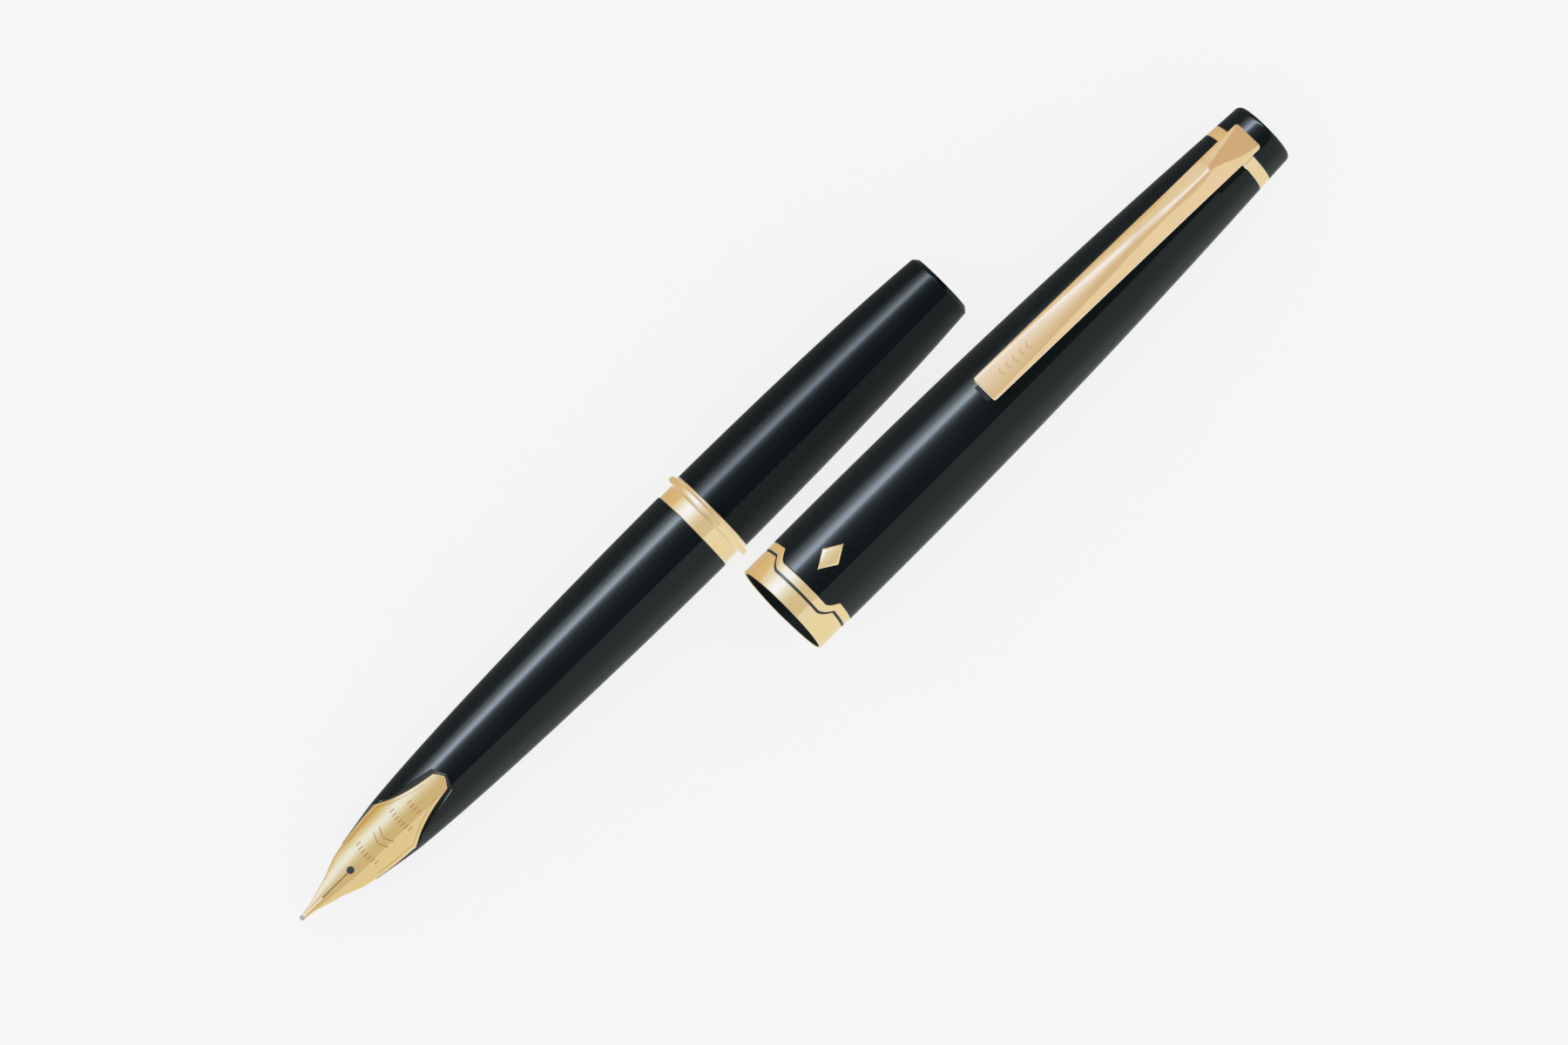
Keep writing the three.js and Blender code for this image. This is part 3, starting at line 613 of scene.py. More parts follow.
# Stations along the nib: distance, half width, height of the ridge and of the edges
NIB_STATIONS = (
    (0.45, 0.3, 0.42, 0.32), (1.8, 0.47, 0.76, 0.66), (3.05, 0.81, 1.07, 0.88), (4.3, 1.19, 1.4, 1.08),
    (5.5, 1.52, 1.7, 1.26), (6.7, 2, 2, 1.32), (7.9, 2.45, 2.3, 1.36), (10, 2.88, 2.82, 1.5),
    (12.5, 3.23, 3.34, 1.57), (15.5, 3.45, 3.85, 1.71),
)
NIB_SIDES = [(x, half) for x, half, _, _ in NIB_STATIONS]
NIB_RIDGE = [(x, top) for x, _, top, _ in NIB_STATIONS]
NIB_RIMS = [(x, edge) for x, _, _, edge in NIB_STATIONS]
NIB_TAIL = [(NIB_SHOULDER, 3.45), (17.4, 2.5), (19.9, 1.72), (NIB_CORNER, 1.18)]
NIB_POINT = [(NIB_CORNER, 1.18), (NIB_END, 0.12)]


def nib_half(x):
    """Half width of the nib."""
    if x < NIB_SHOULDER:
        return smooth_at(NIB_SIDES, x)
    if x < NIB_CORNER:
        return smooth_at(NIB_TAIL, x)
    return value_at(NIB_POINT, x)


def nib_height(x, y):
    """Height of the nib's upper face."""
    if x >= NIB_SHOULDER:
        r = value_at(SECTION_LINE, x)
        return math.sqrt(r * r - y * y)
    half, top, edge = (smooth_at(line, x) for line in (NIB_SIDES, NIB_RIDGE, NIB_RIMS))
    rise = top - edge
    r = (half * half + rise * rise) / (2 * rise)
    return top - r + math.sqrt(max(r * r - y * y, 0))


def nib_inner(x):
    """Where a tine ends towards the middle: at the slit, at the breather hole, or joined behind it."""
    reach = BREATHER_R**2 - (x - BREATHER_X) ** 2
    hole = math.sqrt(reach) if reach > 0 else 0
    return max(hole, SLIT_HALF) if x < BREATHER_X else hole


def nib():
    hole = [BREATHER_X - BREATHER_R * math.cos(math.pi * i / 20) for i in range(21)]
    distances = [*spread(0.45, hole[0] - 0.05, 36), *hole, *spread(hole[-1] + 0.1, NIB_SHOULDER, 28),
                 *spread(NIB_SHOULDER + 0.12, NIB_CORNER, 36), *spread(NIB_CORNER + 0.1, NIB_END, 6)]
    across = 16
    loops = []
    for x in distances:
        inner, outer = nib_inner(x), nib_half(x)
        edge = min(NIB_EDGE, inner, (outer - inner) / 3)
        rim = min(NIB_EDGE, (outer - inner) / 3)
        top = [(x, inner, nib_height(x, inner) - edge)]
        top += [(x, y, nib_height(x, y)) for y in spread(inner + edge, outer - rim, across)]
        top.append((x, outer, nib_height(x, outer) - rim))
        thin = min(NIB_THICKNESS, nib_height(x, 0) - 0.05)
        under = [(x, y, nib_height(x, y) - thin) for y in spread(outer, inner, across)]
        loops.append(top + under)
    return mirrored(loft(loops))


def nib_marks():
    """Plain ornament in place of lettering: a fine border, chevrons and rows of short strokes."""
    border_xs = spread(10.2, 21.2, 40)
    solids = []
    for side in (1, -1):
        border = [(x, side * (nib_half(x) - 0.42)) for x in border_xs]
        solids.append(stroke(border, 0.07, nib_height, 0.008))
        for start in (12.6, 13.5):
            wing = [(start + 0.55 * t, side * (0.06 + 1.15 * t)) for t in spread(0, 1, 6)]
            solids.append(stroke(wing, 0.13, nib_height, 0.012))
    for x, reach, count in ((10.6, 1.5, 7), (16.1, 1.5, 7), (18.2, 0.8, 4)):
        for y in spread(-reach, reach, count - 1):
            bow = x - 0.12 * (reach * reach - y * y)
            solids.append(stroke([(bow, y), (bow + 0.35, y), (bow + 0.7, y)], 0.13, nib_height, 0.012))
    return joined(*solids)


def nib_tip():
    """The ground ball of tipping metal at the end of the tines, split by the slit."""
    middle_x, middle_z, length, radius, gap = 0.33, 0.14, 0.31, 0.29, 0.02
    loops = []
    for angle in spread(0.04, 2.1, 14):
        x = middle_x - length * math.cos(angle)
        r = radius * math.sin(angle)
        ring = spread(0, math.pi, 12)
        loops.append([(x, max(r * math.sin(a), 0) + gap, middle_z + r * math.cos(a)) for a in ring])
    vertices, faces = loft(loops)
    return joined((vertices, faces), ([(x, -y, z) for x, y, z in vertices], faces))


# ---- Feed and what holds it ----

FEED_HALF = [(FEED_START, 0.35), (5.2, 0.8), (8, 1.5), (12, 2), (15.5, FEED_R), (FEED_END, FEED_R)]
FEED_TOP = [(FEED_START, 0.6), (5.2, 1.02), (8, 1.7), (12, 2.05), (15.5, FEED_R), (FEED_END, FEED_R)]
FEED_BOTTOM = [(FEED_START, 0.15), (5.2, -0.3), (8, -1.1), (12, -1.75), (15.5, -FEED_R),
               (FEED_END, -FEED_R)]
FIN_START = 6.4
FIN_END = 15
FIN_PITCH = 0.55
FIN_DEPTH = 0.38


def feed():
    """A tapered black feed with comb fins under it."""
    rows = [(x, 0) for x in spread(FEED_START, FIN_START, 8)]
    x = FIN_START + 0.02
    while x < FIN_END:
        rows += [(x, FIN_DEPTH), (x + FIN_PITCH * 0.4, FIN_DEPTH), (x + FIN_PITCH * 0.42, 0),
                 (x + FIN_PITCH * 0.96, 0)]
        x += FIN_PITCH
    rows += [(x, 0) for x in (15.5, 20, 27, FEED_END - 0.3)] + [(FEED_END, 0.25)]
    sides = 40
    loops = []
    for x, cut in rows:
        half, top, bottom = (value_at(line, x) for line in (FEED_HALF, FEED_TOP, FEED_BOTTOM))
        middle, rise = (top + bottom) / 2, (top - bottom) / 2
        loop = []
        for i in range(sides):
            angle = 2 * math.pi * i / sides
            share = 1 - cut / half * max(0, -math.cos(angle)) ** 0.4
            loop.append((x, half * share * math.sin(angle), middle + rise * share * math.cos(angle)))
        loops.append(loop)
    return loft(loops)


def feed_housing():
    return turned(rounded([(24.6, 2.25, 0.1), (24.6, 3.6, 0.15), (34, 3.6, 0.15), (34, 2.25, 0.1)]), INSIDE)


def ink_nipple():
    return turned(rounded([(34.1, 0.6), (34.1, 3.6, 0.1), (35.6, 3.6, 0.1), (35.6, 1.9, 0.25),
                           (41.7, 1.9, 0.3), (42.5, 1.5, 0.15), (42.5, 0.6, 0.1)]), INSIDE)


# ---- Section ----

MOUTH_EDGE = [(LIP_START, 0.42), (10, 0.55), (12.5, 0.8), (NIB_SHOULDER, 1.3)]
SECTION_BORE = [(LIP_START, 2.45), (24.2, 2.6), (24.35, 3.75), (45.6, 3.97), (45.75, 4.5),
                (SECTION_END, 4.5)]
RECESS = [(NIB_SHOULDER, 3.6), (17.2, 2.85), (23.12, 1.65), (23.87, 0)]
RECESS_END = RECESS[-1][0]
EDGE_BREAK = 0.07                 # rounding of the recess's edge


def section_radius(x):
    """Outer radius of the section, its lip in front of the shoulders included."""
    if x >= NIB_SHOULDER:
        return value_at(SECTION_LINE, x)
    lip = smooth_at([(LIP_START + 0.2, 2.9), (12.5, 3.38), (NIB_SHOULDER, 3.85), (18, 4.1)], x)
    ease = max(0, 1 - (x - LIP_START) / 0.25)
    return lip - 0.16 * ease * ease


def opening_angle(x):
    """From the top down to the edge of the mouth, or of the recess behind it."""
    r = section_radius(x)
    if x <= NIB_SHOULDER:
        return math.acos(value_at(MOUTH_EDGE, x) / r)
    return math.asin(max(0, value_at(RECESS, x)) / r)


def section_shell():
    quarter = 32
    _, first, second, last = (x for x, _ in RECESS)
    distances = [LIP_START, LIP_START + 0.05, LIP_START + 0.12, *spread(LIP_START + 0.25, NIB_SHOULDER, 26),
                 *spread(NIB_SHOULDER + 0.1, first, 8), *spread(first + 0.3, second, 24),
                 *spread(second + 0.05, last, 10), 24.2, 24.35, *spread(25, 45.6, 18),
                 *spread(45.75, SECTION_END - 0.15, 14)]
    loops = []
    for x in distances:
        loops.append(section_loop(x, section_radius(x), quarter))
    for angle in (30, 60, 90):
        turn = math.radians(angle)
        x = SECTION_END - 0.15 * (1 - math.sin(turn))
        loops.append(section_loop(x, section_radius(x) - 0.15 * (1 - math.cos(turn)), quarter))
    return mirrored(loft(loops))


def section_loop(x, r, quarter):
    """Half of the section's wall: out from the opening, round to the bottom and back inside."""
    start = opening_angle(x) if x < RECESS_END else 0
    broken = min(EDGE_BREAK, start * r / 3)
    angles = [start + broken / r + (math.pi / 2 - start - broken / r) * i / quarter for i in range(quarter)]
    angles += spread(math.pi / 2, math.pi, quarter)
    bore = value_at(SECTION_BORE, x)
    outer = [(x, r * math.sin(a), r * math.cos(a)) for a in angles]
    shoulder = [(x, (r - broken) * math.sin(start), (r - broken) * math.cos(start))]
    inner = [(x, bore * math.sin(a), bore * math.cos(a)) for a in reversed([start] + angles)]
    return shoulder + outer + inner


def thread(start, end, pitch, height):
    """Relief of a helical thread between two distances, fading in and out at its ends."""
    def relief(x, _, angle):
        turns = (x - start) / pitch - angle / (2 * math.pi)
        wave = 0.5 - 0.5 * math.cos(2 * math.pi * turns)
        fade = min(1, max(0, (x - start) / pitch)) * min(1, max(0, (end - x) / pitch))
        return height * wave * fade
    return relief


def section_sleeve():
    cut = thread(THREAD_START, THREAD_END, THREAD_PITCH, 0.2)
    threaded = [(x, SLEEVE_R) for x in spread(THREAD_START, 74.4, 72)]
    outline = rounded([(46, SLEEVE_BORE, 0.1), (46, SLEEVE_R, 0.1), (67.3, SLEEVE_R), *threaded,
                       (THREAD_END, 4.3), (THREAD_END, SLEEVE_BORE, 0.1)])
    return turned(outline, THREAD_FACETS, lambda x, r, a: cut(x, r, a) if r > 4.2 else 0)


def section_band():
    return turned(rounded([(BAND_START, 4.55), (BAND_START, 5.43, 0.06), (BAND_END, 5.43, 0.14),
                           (BAND_END, 4.55)]))


def stop_flange():
    return turned(rounded([(66.4, 4.55), (66.4, 5.3, 0.05), (FLANGE_START, 5.34, 0.05),
                           (FLANGE_START, FLANGE_R, 0.09), (67.1, FLANGE_R, 0.12), (FLANGE_END, 5.75, 0.05),
                           (FLANGE_END, 4.55)]))


def barrel_trim_ring():
    return turned(rounded([(TRIM_START, 4.78), (TRIM_START, TRIM_R, 0.06), (TRIM_END, TRIM_R, 0.06),
                           (TRIM_END, 4.78)]))


# ---- Barrel ----

def barrel_shell():
    inside = [(103.4, 0), (103.4, 3.55, 0.5), (96, 3.95), (90, 4.3), (75.6, 4.3), (75.6, 5.12)]
    mouth = [(BARREL_START, 5.12), (BARREL_START, 5.62, 0.06)]
    tail = [(104.8, 4.41, 0.25), (BARREL_END, 3.85, 0.12), (BARREL_END, 3), (BARREL_END, 0)]
    return turned(rounded(inside + mouth + follow(BARREL_LINE, 68.2, 104.5, 48) + tail))


def barrel_thread_insert():
    cut = thread(69, 73.6, THREAD_PITCH, -0.15)
    inner = [(x, 4.87) for x in spread(75.2, 68.5, 76)]
    outline = rounded([(75.4, 4.87), *inner, (68.3, 4.87), (68.3, 5.02, 0.03), (75.4, 5.02, 0.03)])
    return turned(outline, THREAD_FACETS, lambda x, r, a: cut(x, r, a) if r < 4.9 else 0)


# ---- Converter ----

def converter_mouth():
    return turned(rounded([(36.1, 2.2, 0.05), (36.7, 2.05), (45, 2.05), (45, 2.65, 0.06), (43.5, 2.65),
                           (43.5, 3.5, 0.12), (37.6, 3.5), (37.5, 3.4), (37.2, 3.4), (37.1, 3.5),
                           (36.1, 3.5, 0.25)]), INSIDE)


def converter_tube():
    return turned(rounded([(TUBE_START, TUBE_BORE, 0.05), (TUBE_START, TUBE_R, 0.1),
                           (TUBE_END, TUBE_R, 0.1), (TUBE_END, TUBE_BORE, 0.05)]), INSIDE)


def converter_sleeve():
    return turned(rounded([(64, 3.35), (64, 3.65, 0.1), (64.8, 3.65), (64.9, 3.58), (65.2, 3.58),
                           (65.3, 3.65), (79.7, 3.65), (79.8, 3.58), (80.1, 3.58), (80.2, 3.65),
                           (81, 3.65, 0.1), (81, 3.35)]), THREAD_FACETS)


def rod_guide():
    outline = [(66.3, 1.35, 0.1), (66.3, 3.25, 0.1), (69.6, 3.25, 0.1), (69.6, 1.35, 0.1)]
    return turned(rounded(outline), INSIDE)


def piston_head():
    return turned(rounded([(PISTON_START, 0), (PISTON_START, 2.5, 0.12), (46, 2.5, 0.08), (46, 2),
                           (47.6, 2), (47.6, 2.5, 0.08), (PISTON_END, 2.5, 0.12),
                           (PISTON_END, 0)]), INSIDE)


def piston_seal():
    return turned(rounded([(46.1, 2.08), (46.1, 2.68, 0.12), (46.45, 2.68, 0.1), (46.8, 2.5, 0.1),
                           (47.15, 2.68, 0.1), (47.5, 2.68, 0.12), (47.5, 2.08)]), INSIDE)


def piston_rod():
    """The rod, with the coarse thread that the knob drives."""
    rows = [(x, 1.15) for x in spread(56, 76.6, 130)]
    return turned([(48.3, 0), (48.3, 1.15), (55, 1.15), *rows, (77, 1.0), (77, 0)], ROD_FACETS,
                  thread(56, 76.6, 1.6, -0.12))


def converter_knob():
    """The stem and the knurled knob, closed at its end."""
    def flutes(x, r, angle):
        if r < KNOB_R - 0.02 or not KNOB_START + 1 < x < KNOB_END - 1:
            return 0
        return -FLUTE_DEPTH * abs(math.cos(angle * KNOB_FLUTES / 2)) ** 3

    grip = [(x, KNOB_R) for x in (82.2, 82.31, 82.5, 85, 88, 91, 92.8, 92.99, 93.1)]
    return turned(rounded([(93.2, 0), (93.2, 1.35), (STEM_START, 1.35), (STEM_START, 3.15, 0.15),
                           (KNOB_START, 3.15), (KNOB_START, KNOB_R, 0.12), *grip,
                           (KNOB_END, KNOB_R, 0.35), (KNOB_END, 2), (KNOB_END, 0)]), KNOB_FLUTES * 8, flutes)


# ---- Cap ----

def stepped(angle, low, high, step):
    """Height of a line that is low across the front and rises in a step to both sides."""
    turn = abs(math.degrees(math.atan2(math.sin(angle), math.cos(angle))))
    share = min(1, max(0, (turn - step[0]) / (step[1] - step[0])))
    return low + (high - low) * share**1.6


def band_top(angle):
    return stepped(angle, BAND_LOW, BAND_HIGH, BAND_STEP)


def inlay_middle(angle):
    return stepped(angle, INLAY_LOW, INLAY_HIGH, INLAY_STEP)


def cap_radius(x):
    return value_at(CAP_LINE, x)


def cap_band():
    """The gold band, with a groove for the dark line."""
    outer = cap_radius(0)

    def section(angle):
        middle, top = inlay_middle(angle), band_top(angle)
        low, high, floor_r = middle - INLAY_HALF, middle + INLAY_HALF, outer - INLAY_DEPTH
        return rounded([(0, BAND_BORE), (0, outer, 0.07), (low, outer, 0.025), (low, floor_r),
                        (high, floor_r), (high, outer, 0.025), (top, outer + 0.025, 0.04), (top, BAND_BORE)])
    return hoop(section)


def cap_band_inlay():
    outer = cap_radius(0) - 0.035

    def section(angle):
        middle = inlay_middle(angle)
        half = INLAY_HALF - 0.015
        return [(middle - half, outer - 0.06), (middle - half, outer), (middle + half, outer),
                (middle + half, outer - 0.06)]
    return hoop(section)


def cap_shell():
    """The cap's tube. Its front edge follows the band's step."""
    straight = 9.0                    # from here back the points no longer follow the step
    bore = [(CAP_TOP, 3.1), (LINER_END + 0.1, 3.1), *follow(CAP_LINE, LINER_END, 25, 20, 0.7),
            (GRIP_END + 0.2, MOUTH_BORE), (GRIP_END + 0.2, 5.87), (GRIP_START - 0.2, 5.87),
            (GRIP_START - 0.2, MOUTH_BORE), (0.05, MOUTH_BORE), (0.05, 5.98)]

    def section(angle):
        front = band_top(angle) + 0.04
        seat = [(front, 5.98), (front, cap_radius(front) - 0.06), (front + 0.06, cap_radius(front))]
        lead = [(x, cap_radius(x)) for x in spread(front + 0.2, straight, 6)]
        body = follow(CAP_LINE, straight + 1, CAP_TOP - 0.08, 60)
        return seat + lead + body + [(CAP_TOP, cap_radius(CAP_TOP) - 0.07)] + bore
    return hoop(section)


def wrapped(x, y, r):
    """A point at a distance y round a circle of radius r, measured from its top."""
    return x, r * math.sin(y / r), r * math.cos(y / r)


def cap_emblem():
    """A small bevelled lozenge on the cap's front, in place of a monogram."""
    middle, reach, widest = 7.8, 2.1, 1.3
    loops = []
    for share in spread(-1, 1, 24):
        half = max(0.05, widest * (1 - abs(share)))
        x = middle + share * reach
        base = cap_radius(x)
        loop = []
        for across in spread(-1, 1, 12):
            fall = min(1, 3.2 * min(1 - abs(across), (1 - abs(share)) * 1.5))
            loop.append(wrapped(x, half * across, base + 0.03 + 0.11 * fall))
        loop += [wrapped(x, half * t, base - 0.04) for t in (1, 0.5, 0, -0.5, -1)]
        loops.append(loop)
    return loft(loops)


def cap_grip_ring():
    return turned(rounded([(GRIP_START, 5.6), (GRIP_START, 5.8, 0.05), (GRIP_END, 5.8, 0.05),
                           (GRIP_END, 5.6)]))


def inner_cap():
    return turned([*follow(CAP_LINE, LINER_START, LINER_END, 20, 0.8), (LINER_END, 1.15),
                   (LINER_FLOOR, 1.15), *follow(CAP_LINE, LINER_FLOOR, LINER_START, 20, 1.2)], INSIDE)


def finial_screw():
    return turned(rounded([(SCREW_START, 0), (SCREW_START, 2.1, 0.25), (SCREW_NECK, 2.1, 0.06),
                           (SCREW_NECK, 1), (SCREW_END, 1, 0.1), (SCREW_END, 0)]), INSIDE)


def clip_ring():
    return turned(rounded([(RING_START, 3.15), (RING_START, cap_radius(RING_START) + 0.01, 0.06),
                           (RING_END, cap_radius(RING_END) + 0.01, 0.06), (RING_END, 3.15)]))


def finial():
    foot, bore = LINER_END + 0.3, SCREW_END + 0.2
    side = FINIAL_END - FINIAL_EDGE
    return turned(rounded([(bore, 0), (bore, 1.12), (foot, 1.12), (foot, SPIGOT_R), (FINIAL_START, SPIGOT_R),
                           (FINIAL_START, cap_radius(FINIAL_START), 0.06), (78, cap_radius(78)),
                           (FINIAL_END, cap_radius(side), FINIAL_EDGE), (FINIAL_END, 2), (FINIAL_END, 0)]))


# ---- Clip ----

def clip_underside(x):
    """Underside of the clip above the cap's axis."""
    low = cap_radius(CLIP_START) + CLIP_LIFT
    return low + (CLIP_ROOT_Z - low) * (x - CLIP_START) / (CLIP_END - CLIP_START)


CLIP_HALF = [(CLIP_START, 1.78), (67, 1.93), (CLIP_END, 2.02)]
SIDE_LEFT = [(CLIP_START, 0.855), (48, 0.765), (58, 0.68), (64, 0.51), (CLIP_RIDGE, 0.47), (74.4, 0.43),
             (CLIP_END, 0.42)]
SIDE_RIGHT = [(CLIP_START, 0.6), (CLIP_RIDGE, 0.36), (CLIP_END, 0.42)]
CLIP_CREST = [(CLIP_START, 0.755), (48, 0.955), (64, 1.31), (CLIP_RIDGE, 1.41), (72.2, 1.39),
              (CLIP_END, 0.59)]
# Half width of the top facet, which narrows to the ridge and opens out again to the head's triangle
FACET_LEFT = [(CLIP_START, 1.6), (48, 1.24), (64, 0.62), (CLIP_RIDGE, 0.36), (CLIP_END, 1.74)]
FACET_RIGHT = [(CLIP_START, 1.5), (48, 1.06), (64, 0.27), (CLIP_RIDGE, 0.06), (72.9, 0.46), (74.4, 1.08),
               (75.6, 1.45), (CLIP_END, 1.74)]
# Rise of the top facet's middle, as a share of its half width
FACET_CAMBER = [(CLIP_START, 0.05), (44, 0.07), (52, 0.14), (58, 0.19), (64, 0.12), (70, 0.11),
                (72.5, 0.01), (CLIP_END, 0.01)]
# How much lower the top facet lies along its left edge than along its right
FACET_LEAN = [(CLIP_START, -0.2), (48, -0.14), (58, -0.08), (64, 0.085), (CLIP_RIDGE, 0.055), (72.2, 0.17),
              (74.4, 0.12), (CLIP_END, 0.015)]
FACET_MARGIN = 0.14               # least width of the side facets
FREE_CORNER = 0.3                 # radius of the free end's corners, seen from above
HEAD_CORNER = 0.42
FREE_BROW = 0.16                  # radius of the free end's top edge, seen from the side
HEAD_BROW = 0.2
CLIP_EDGE = 0.1                   # softness of the outer edges
CLIP_SHINE = 0.16                 # softness of the edge that carries the long bright line


def corner_cut(distance, radius):
    """How much narrower an end with rounded corners is at a distance from that end."""
    if distance >= radius:
        return 0
    return radius - math.sqrt(radius**2 - (radius - distance) ** 2)


def top_facet(x, half):
    """The top facet's reach to the left and to the right."""
    left = smooth_at(FACET_LEFT, x) if x < CLIP_RIDGE else value_at(FACET_LEFT, x)
    most = half - FACET_MARGIN
    return min(left, most), min(smooth_at(FACET_RIGHT, x), most)


def facet_rise(x, y, left, right):
    """How far the cambered top facet stands above its edges."""
    middle, spanned = (left - right) / 2, (left + right) / 2
    return value_at(FACET_CAMBER, x) * spanned * max(0, 1 - ((y - middle) / spanned) ** 2)


def facet_height(x, y):
    """Height of the clip's top facet."""
    left, right = top_facet(x, value_at(CLIP_HALF, x))
    fall = value_at(FACET_LEAN, x) * (y + right) / (left + right)
    return clip_underside(x) + value_at(CLIP_CREST, x) - fall + facet_rise(x, y, left, right)


def clip_section(x):
    """The bar's outline across, as (y, z) points: flat below, with a facet on top and one to each side."""
    from_start, from_end = x - CLIP_START, CLIP_END - x
    narrowed = max(corner_cut(from_start, FREE_CORNER), corner_cut(from_end, HEAD_CORNER))
    half = value_at(CLIP_HALF, x) - narrowed
    drop = corner_cut(from_start, FREE_BROW) + corner_cut(from_end, HEAD_BROW)
    left, right = top_facet(x, half)
    under = clip_underside(x)
    lines = (SIDE_LEFT, SIDE_RIGHT, CLIP_CREST)
    side_left, side_right, top = (under + value_at(line, x) - drop for line in lines)
    lower = top - value_at(FACET_LEAN, x)
    corners = [(half, under), (half, side_left), (left, lower), (-right, top), (-half, side_right),
               (-half, under)]
    reaches = [(0.04, 0.04), (CLIP_EDGE, CLIP_EDGE), (CLIP_SHINE, CLIP_SHINE), (CLIP_EDGE, CLIP_EDGE),
               (CLIP_EDGE, CLIP_EDGE), (0.04, 0.04)]
    outline = []
    for i, (corner, reach) in enumerate(zip(corners, reaches)):
        outline += eased(corner, corners[i - 1], corners[(i + 1) % len(corners)], *reach)
        if corner == (left, lower):   # points across the facet, for its camber
            last, after = Vector(outline[-1]), Vector((-right, top))
            outline += [tuple(last.lerp(after, t)) for t in spread(0, 1, 12)[1:-1]]
    return [(y, z + facet_rise(x, y, left, right) if z > side_right + 0.02 else z) for y, z in outline]


def clip():
    """The sprung bar with its long flat, ridge and triangular head."""
    steps = [0, 0.012, 0.04, 0.08, 0.14, 0.21, 0.3, 0.45]
    distances = [*[CLIP_START + t for t in steps], *spread(CLIP_START + 0.8, 70.4, 44),
                 *spread(70.6, CLIP_END - 0.6, 34), *[CLIP_END - t for t in reversed(steps)]]
    return loft([[(x, y, z) for y, z in clip_section(x)] for x in distances])


def clip_tab():
    """The tongue that goes down through the cap's slot."""
    return block((TAB_START, -TAB_HALF, TAB_FLOOR), (TAB_END, TAB_HALF, clip_underside(TAB_END) + 0.2))


def clip_foot():
    """The rounded foot under the free end, just clear of the cap. Its dark finish is painted shade, for the
    shade under the clip's free end.
    """
    start = CLIP_START - FOOT_AHEAD
    sole = cap_radius(CLIP_START) + FOOT_GAP
    loops = []
    for step in spread(0, FOOT_LENGTH, 24):
        x = start + step
        lift = 0.35 * max(0, 1 - step / 0.5) ** 2 + 0.5 * max(0, (step - 1.6) / 2) ** 2
        top = clip_underside(x) - 0.05 - 0.2 * max(0, 1 - step / 0.4) ** 2
        outline = [(FOOT_HALF, sole + lift), (FOOT_HALF, top), (-FOOT_HALF, top), (-FOOT_HALF, sole + lift)]
        loop = []
        for i, corner in enumerate(outline):
            loop += eased(corner, outline[i - 1], outline[(i + 1) % 4], 0.15, 0.15, 4)
        loops.append([(x, y, z) for y, z in loop])
    return loft(loops)


def clip_marks():
    """A row of five small plain strokes in place of a name."""
    solids = []
    for x in (36.9, 38, 39.1, 40.2, 41.3):
        across = [(x + 0.28, -0.5), (x, 0), (x + 0.28, 0.5)]
        solids.append(stroke(across, 0.16, facet_height, 0.02))
    return joined(*solids)


# ---- Pieces ----

def pen_pieces():
    finer(nib, PEN)
    detail("nib_marks", "nib", nib_marks(), PEN, finish="engraving")
    for build in (nib_tip, feed, feed_housing, ink_nipple, section_shell, section_sleeve, section_band,
                  stop_flange, barrel_trim_ring, barrel_shell, barrel_thread_insert, converter_mouth,
                  converter_tube, converter_sleeve, rod_guide, piston_head, piston_seal, piston_rod,
                  converter_knob):
        finer(build, PEN)


def cap_pieces():
    for build in (cap_band, cap_band_inlay, cap_emblem):
        finer(build, CAP_FRONT)
    shell = finer(cap_shell, CAP_FRONT)
    carve(shell, block((SLOT_START, SLOT_LEFT, SPIGOT_R), (CAP_TOP + 1, SLOT_RIGHT, 8)), CLIP)
    # Painted shade: the cap's inner faces get the matte near-black bore
    coat(shell, CAP_FRONT, "bore", BORE_DEPTH)
    grip = finer(cap_grip_ring, CAP)
    for turn in GRIP_SLITS:
        place = CAP @ Matrix.Rotation(math.radians(-turn), 4, "X")
        carve(grip, block((GRIP_START + 1.5, -0.5, 4), (GRIP_END + 1, 0.5, 8)), place)
    for build in (inner_cap, finial_screw, clip_ring, finial):
        finer(build, CAP)
    finer(clip, CLIP)
    detail("clip_tab", "clip", clip_tab(), CLIP, 0.08, "clip_gold")
    # The foot's dark slot is painted shade under the clip's free end
    finer(clip_foot, CLIP)
    detail("clip_marks", "clip", clip_marks(), CLIP, finish="clip_engraving")


# ---- Floor, light and camera ----

def card(name, slots, radius, stops, far=None):
    """A long sheet of light rolled round the pen, for the pieces of some slots only."""
    vertices, faces, glow = [], [], []
    columns = len(CARD_COLUMNS)
    for (a, light_a), (b, light_b) in zip(stops, stops[1:]):
        for t in spread(0, 1, CARD_STEPS):
            degrees = a + (b - a) * t
            angle = math.radians(degrees)
            light = Vector(light_a).lerp(Vector(light_b), t)
            for i, x in enumerate(CARD_COLUMNS):
                dimmed = far and i >= columns / 2 and degrees < LIGHT_EDGE
                vertices.append((x, -radius * math.sin(angle), radius * math.cos(angle)))
                glow += [*(far if dimmed else light), 1.0]
    for row in range(0, len(vertices) - columns, columns):
        for i in range(row, row + columns - 1):
            faces.append((i, i + 1, i + columns + 1, i + columns))
    glowing_sheet(name, slots, vertices, faces, glow)


def glowing_sheet(name, slots, vertices, faces, glow):
    """A sheet that shines by its points' colours and lets other light through."""
    mesh = bpy.data.meshes.new(name)
    mesh.from_pydata(vertices, [], faces)
    mesh.color_attributes.new("glow", "FLOAT_COLOR", "POINT").data.foreach_set("color", glow)
    mesh.materials.append(glow_material(name))
    obj = bpy.data.objects.new(name, mesh)
    bpy.context.scene.collection.objects.link(obj)
    obj.visible_camera = False
    lit = bpy.data.collections.new(f"{name}_lights")
    for piece, slot in pieces:
        if slot in slots:
            lit.objects.link(piece)
    obj.light_linking.receiver_collection = lit


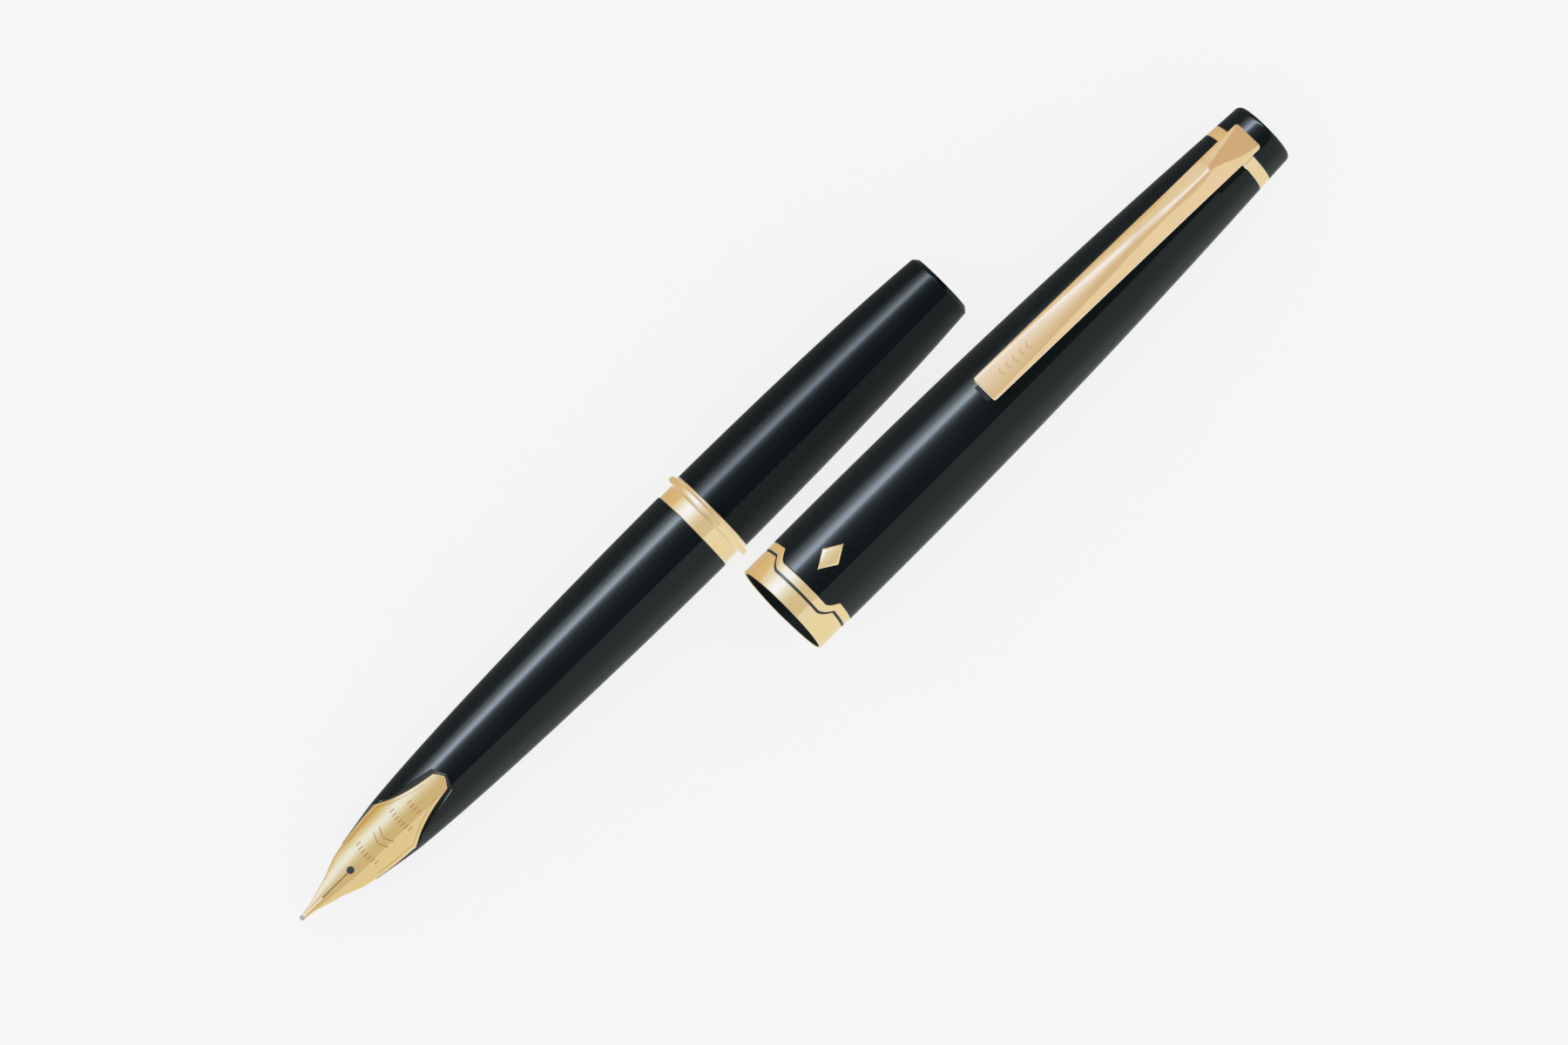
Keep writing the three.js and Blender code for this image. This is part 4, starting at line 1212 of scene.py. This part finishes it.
def glow_material(name):
    material = bpy.data.materials.new(name)
    material.use_nodes = True
    tree = material.node_tree
    tree.nodes.remove(tree.nodes["Principled BSDF"])
    color = tree.nodes.new("ShaderNodeAttribute")
    color.attribute_name = "glow"
    emission = tree.nodes.new("ShaderNodeEmission")
    clear = tree.nodes.new("ShaderNodeBsdfTransparent")
    both = tree.nodes.new("ShaderNodeAddShader")
    tree.links.new(color.outputs["Color"], emission.inputs["Color"])
    tree.links.new(emission.outputs["Emission"], both.inputs[0])
    tree.links.new(clear.outputs["BSDF"], both.inputs[1])
    tree.links.new(both.outputs["Shader"], tree.nodes["Material Output"].inputs["Surface"])
    return material


METALS = ("gold_trim", "nib_gold", "tipping", "steel", "brass")
OTHERS = tuple(slot["slot"] for slot in frame["record"]["materials"] if slot["slot"] not in METALS)


def lights():
    """The same studio of soft sheets for metal and for the rest, with its own strengths for each."""
    card("metal_card", METALS, METAL_CARD_R, METAL_LIGHT, METAL_FAR)
    card("dark_card", OTHERS, DARK_CARD_R, DARK_LIGHT)


def floor():
    """A pale table top, lit evenly, with only faint shadows."""
    bpy.ops.mesh.primitive_plane_add(size=FLOOR_SIZE)
    top = bpy.context.object
    top.name = "floor"
    start_material("floor", (0.1, 0.1, 0.1), 1, Specular_IOR_Level=0, Emission_Color=(1, 1, 1, 1),
                   Emission_Strength=FLOOR_GLOW)
    top.data.materials.append(materials["floor"])
    top.visible_glossy = False


def surroundings():
    """Even light from all round, which polished pieces don't mirror."""
    world = bpy.data.worlds.new("room")
    bpy.context.scene.world = world
    world.use_nodes = True
    world.node_tree.nodes["Background"].inputs["Color"].default_value = (*[ROOM_GLOW] * 3, 1)
    world.cycles_visibility.glossy = False


def soften_reflections():
    """Pen and cap don't mirror each other, so that only the soft light shows in them."""
    for obj, _ in pieces:
        obj.visible_glossy = False


def camera():
    back = Vector((-math.sin(CAMERA_LEAN), 0, math.cos(CAMERA_LEAN)))
    along = (Vector((1, 0, 0)) - back * back.x).normalized()
    across = back.cross(along)
    sin, cos = math.sin(CAMERA_ROLL), math.cos(CAMERA_ROLL)
    right, up = along * cos - across * sin, along * sin + across * cos
    data = bpy.data.cameras.new("camera")
    data.lens = CAMERA_LENS
    data.sensor_width = CAMERA_SENSOR
    data.clip_end = 20
    obj = bpy.data.objects.new("camera", data)
    turn = Matrix((right, up, back)).transposed().to_4x4()
    obj.matrix_world = Matrix.Translation(CAMERA_TARGET + back * CAMERA_DISTANCE) @ turn
    bpy.context.scene.collection.objects.link(obj)
    bpy.context.scene.camera = obj


make_materials()
pen_pieces()
cap_pieces()
soften_reflections()
floor()
lights()
surroundings()
camera()
bpy.context.scene.view_settings.view_transform = "Standard"

bpy.context.view_layer.update()
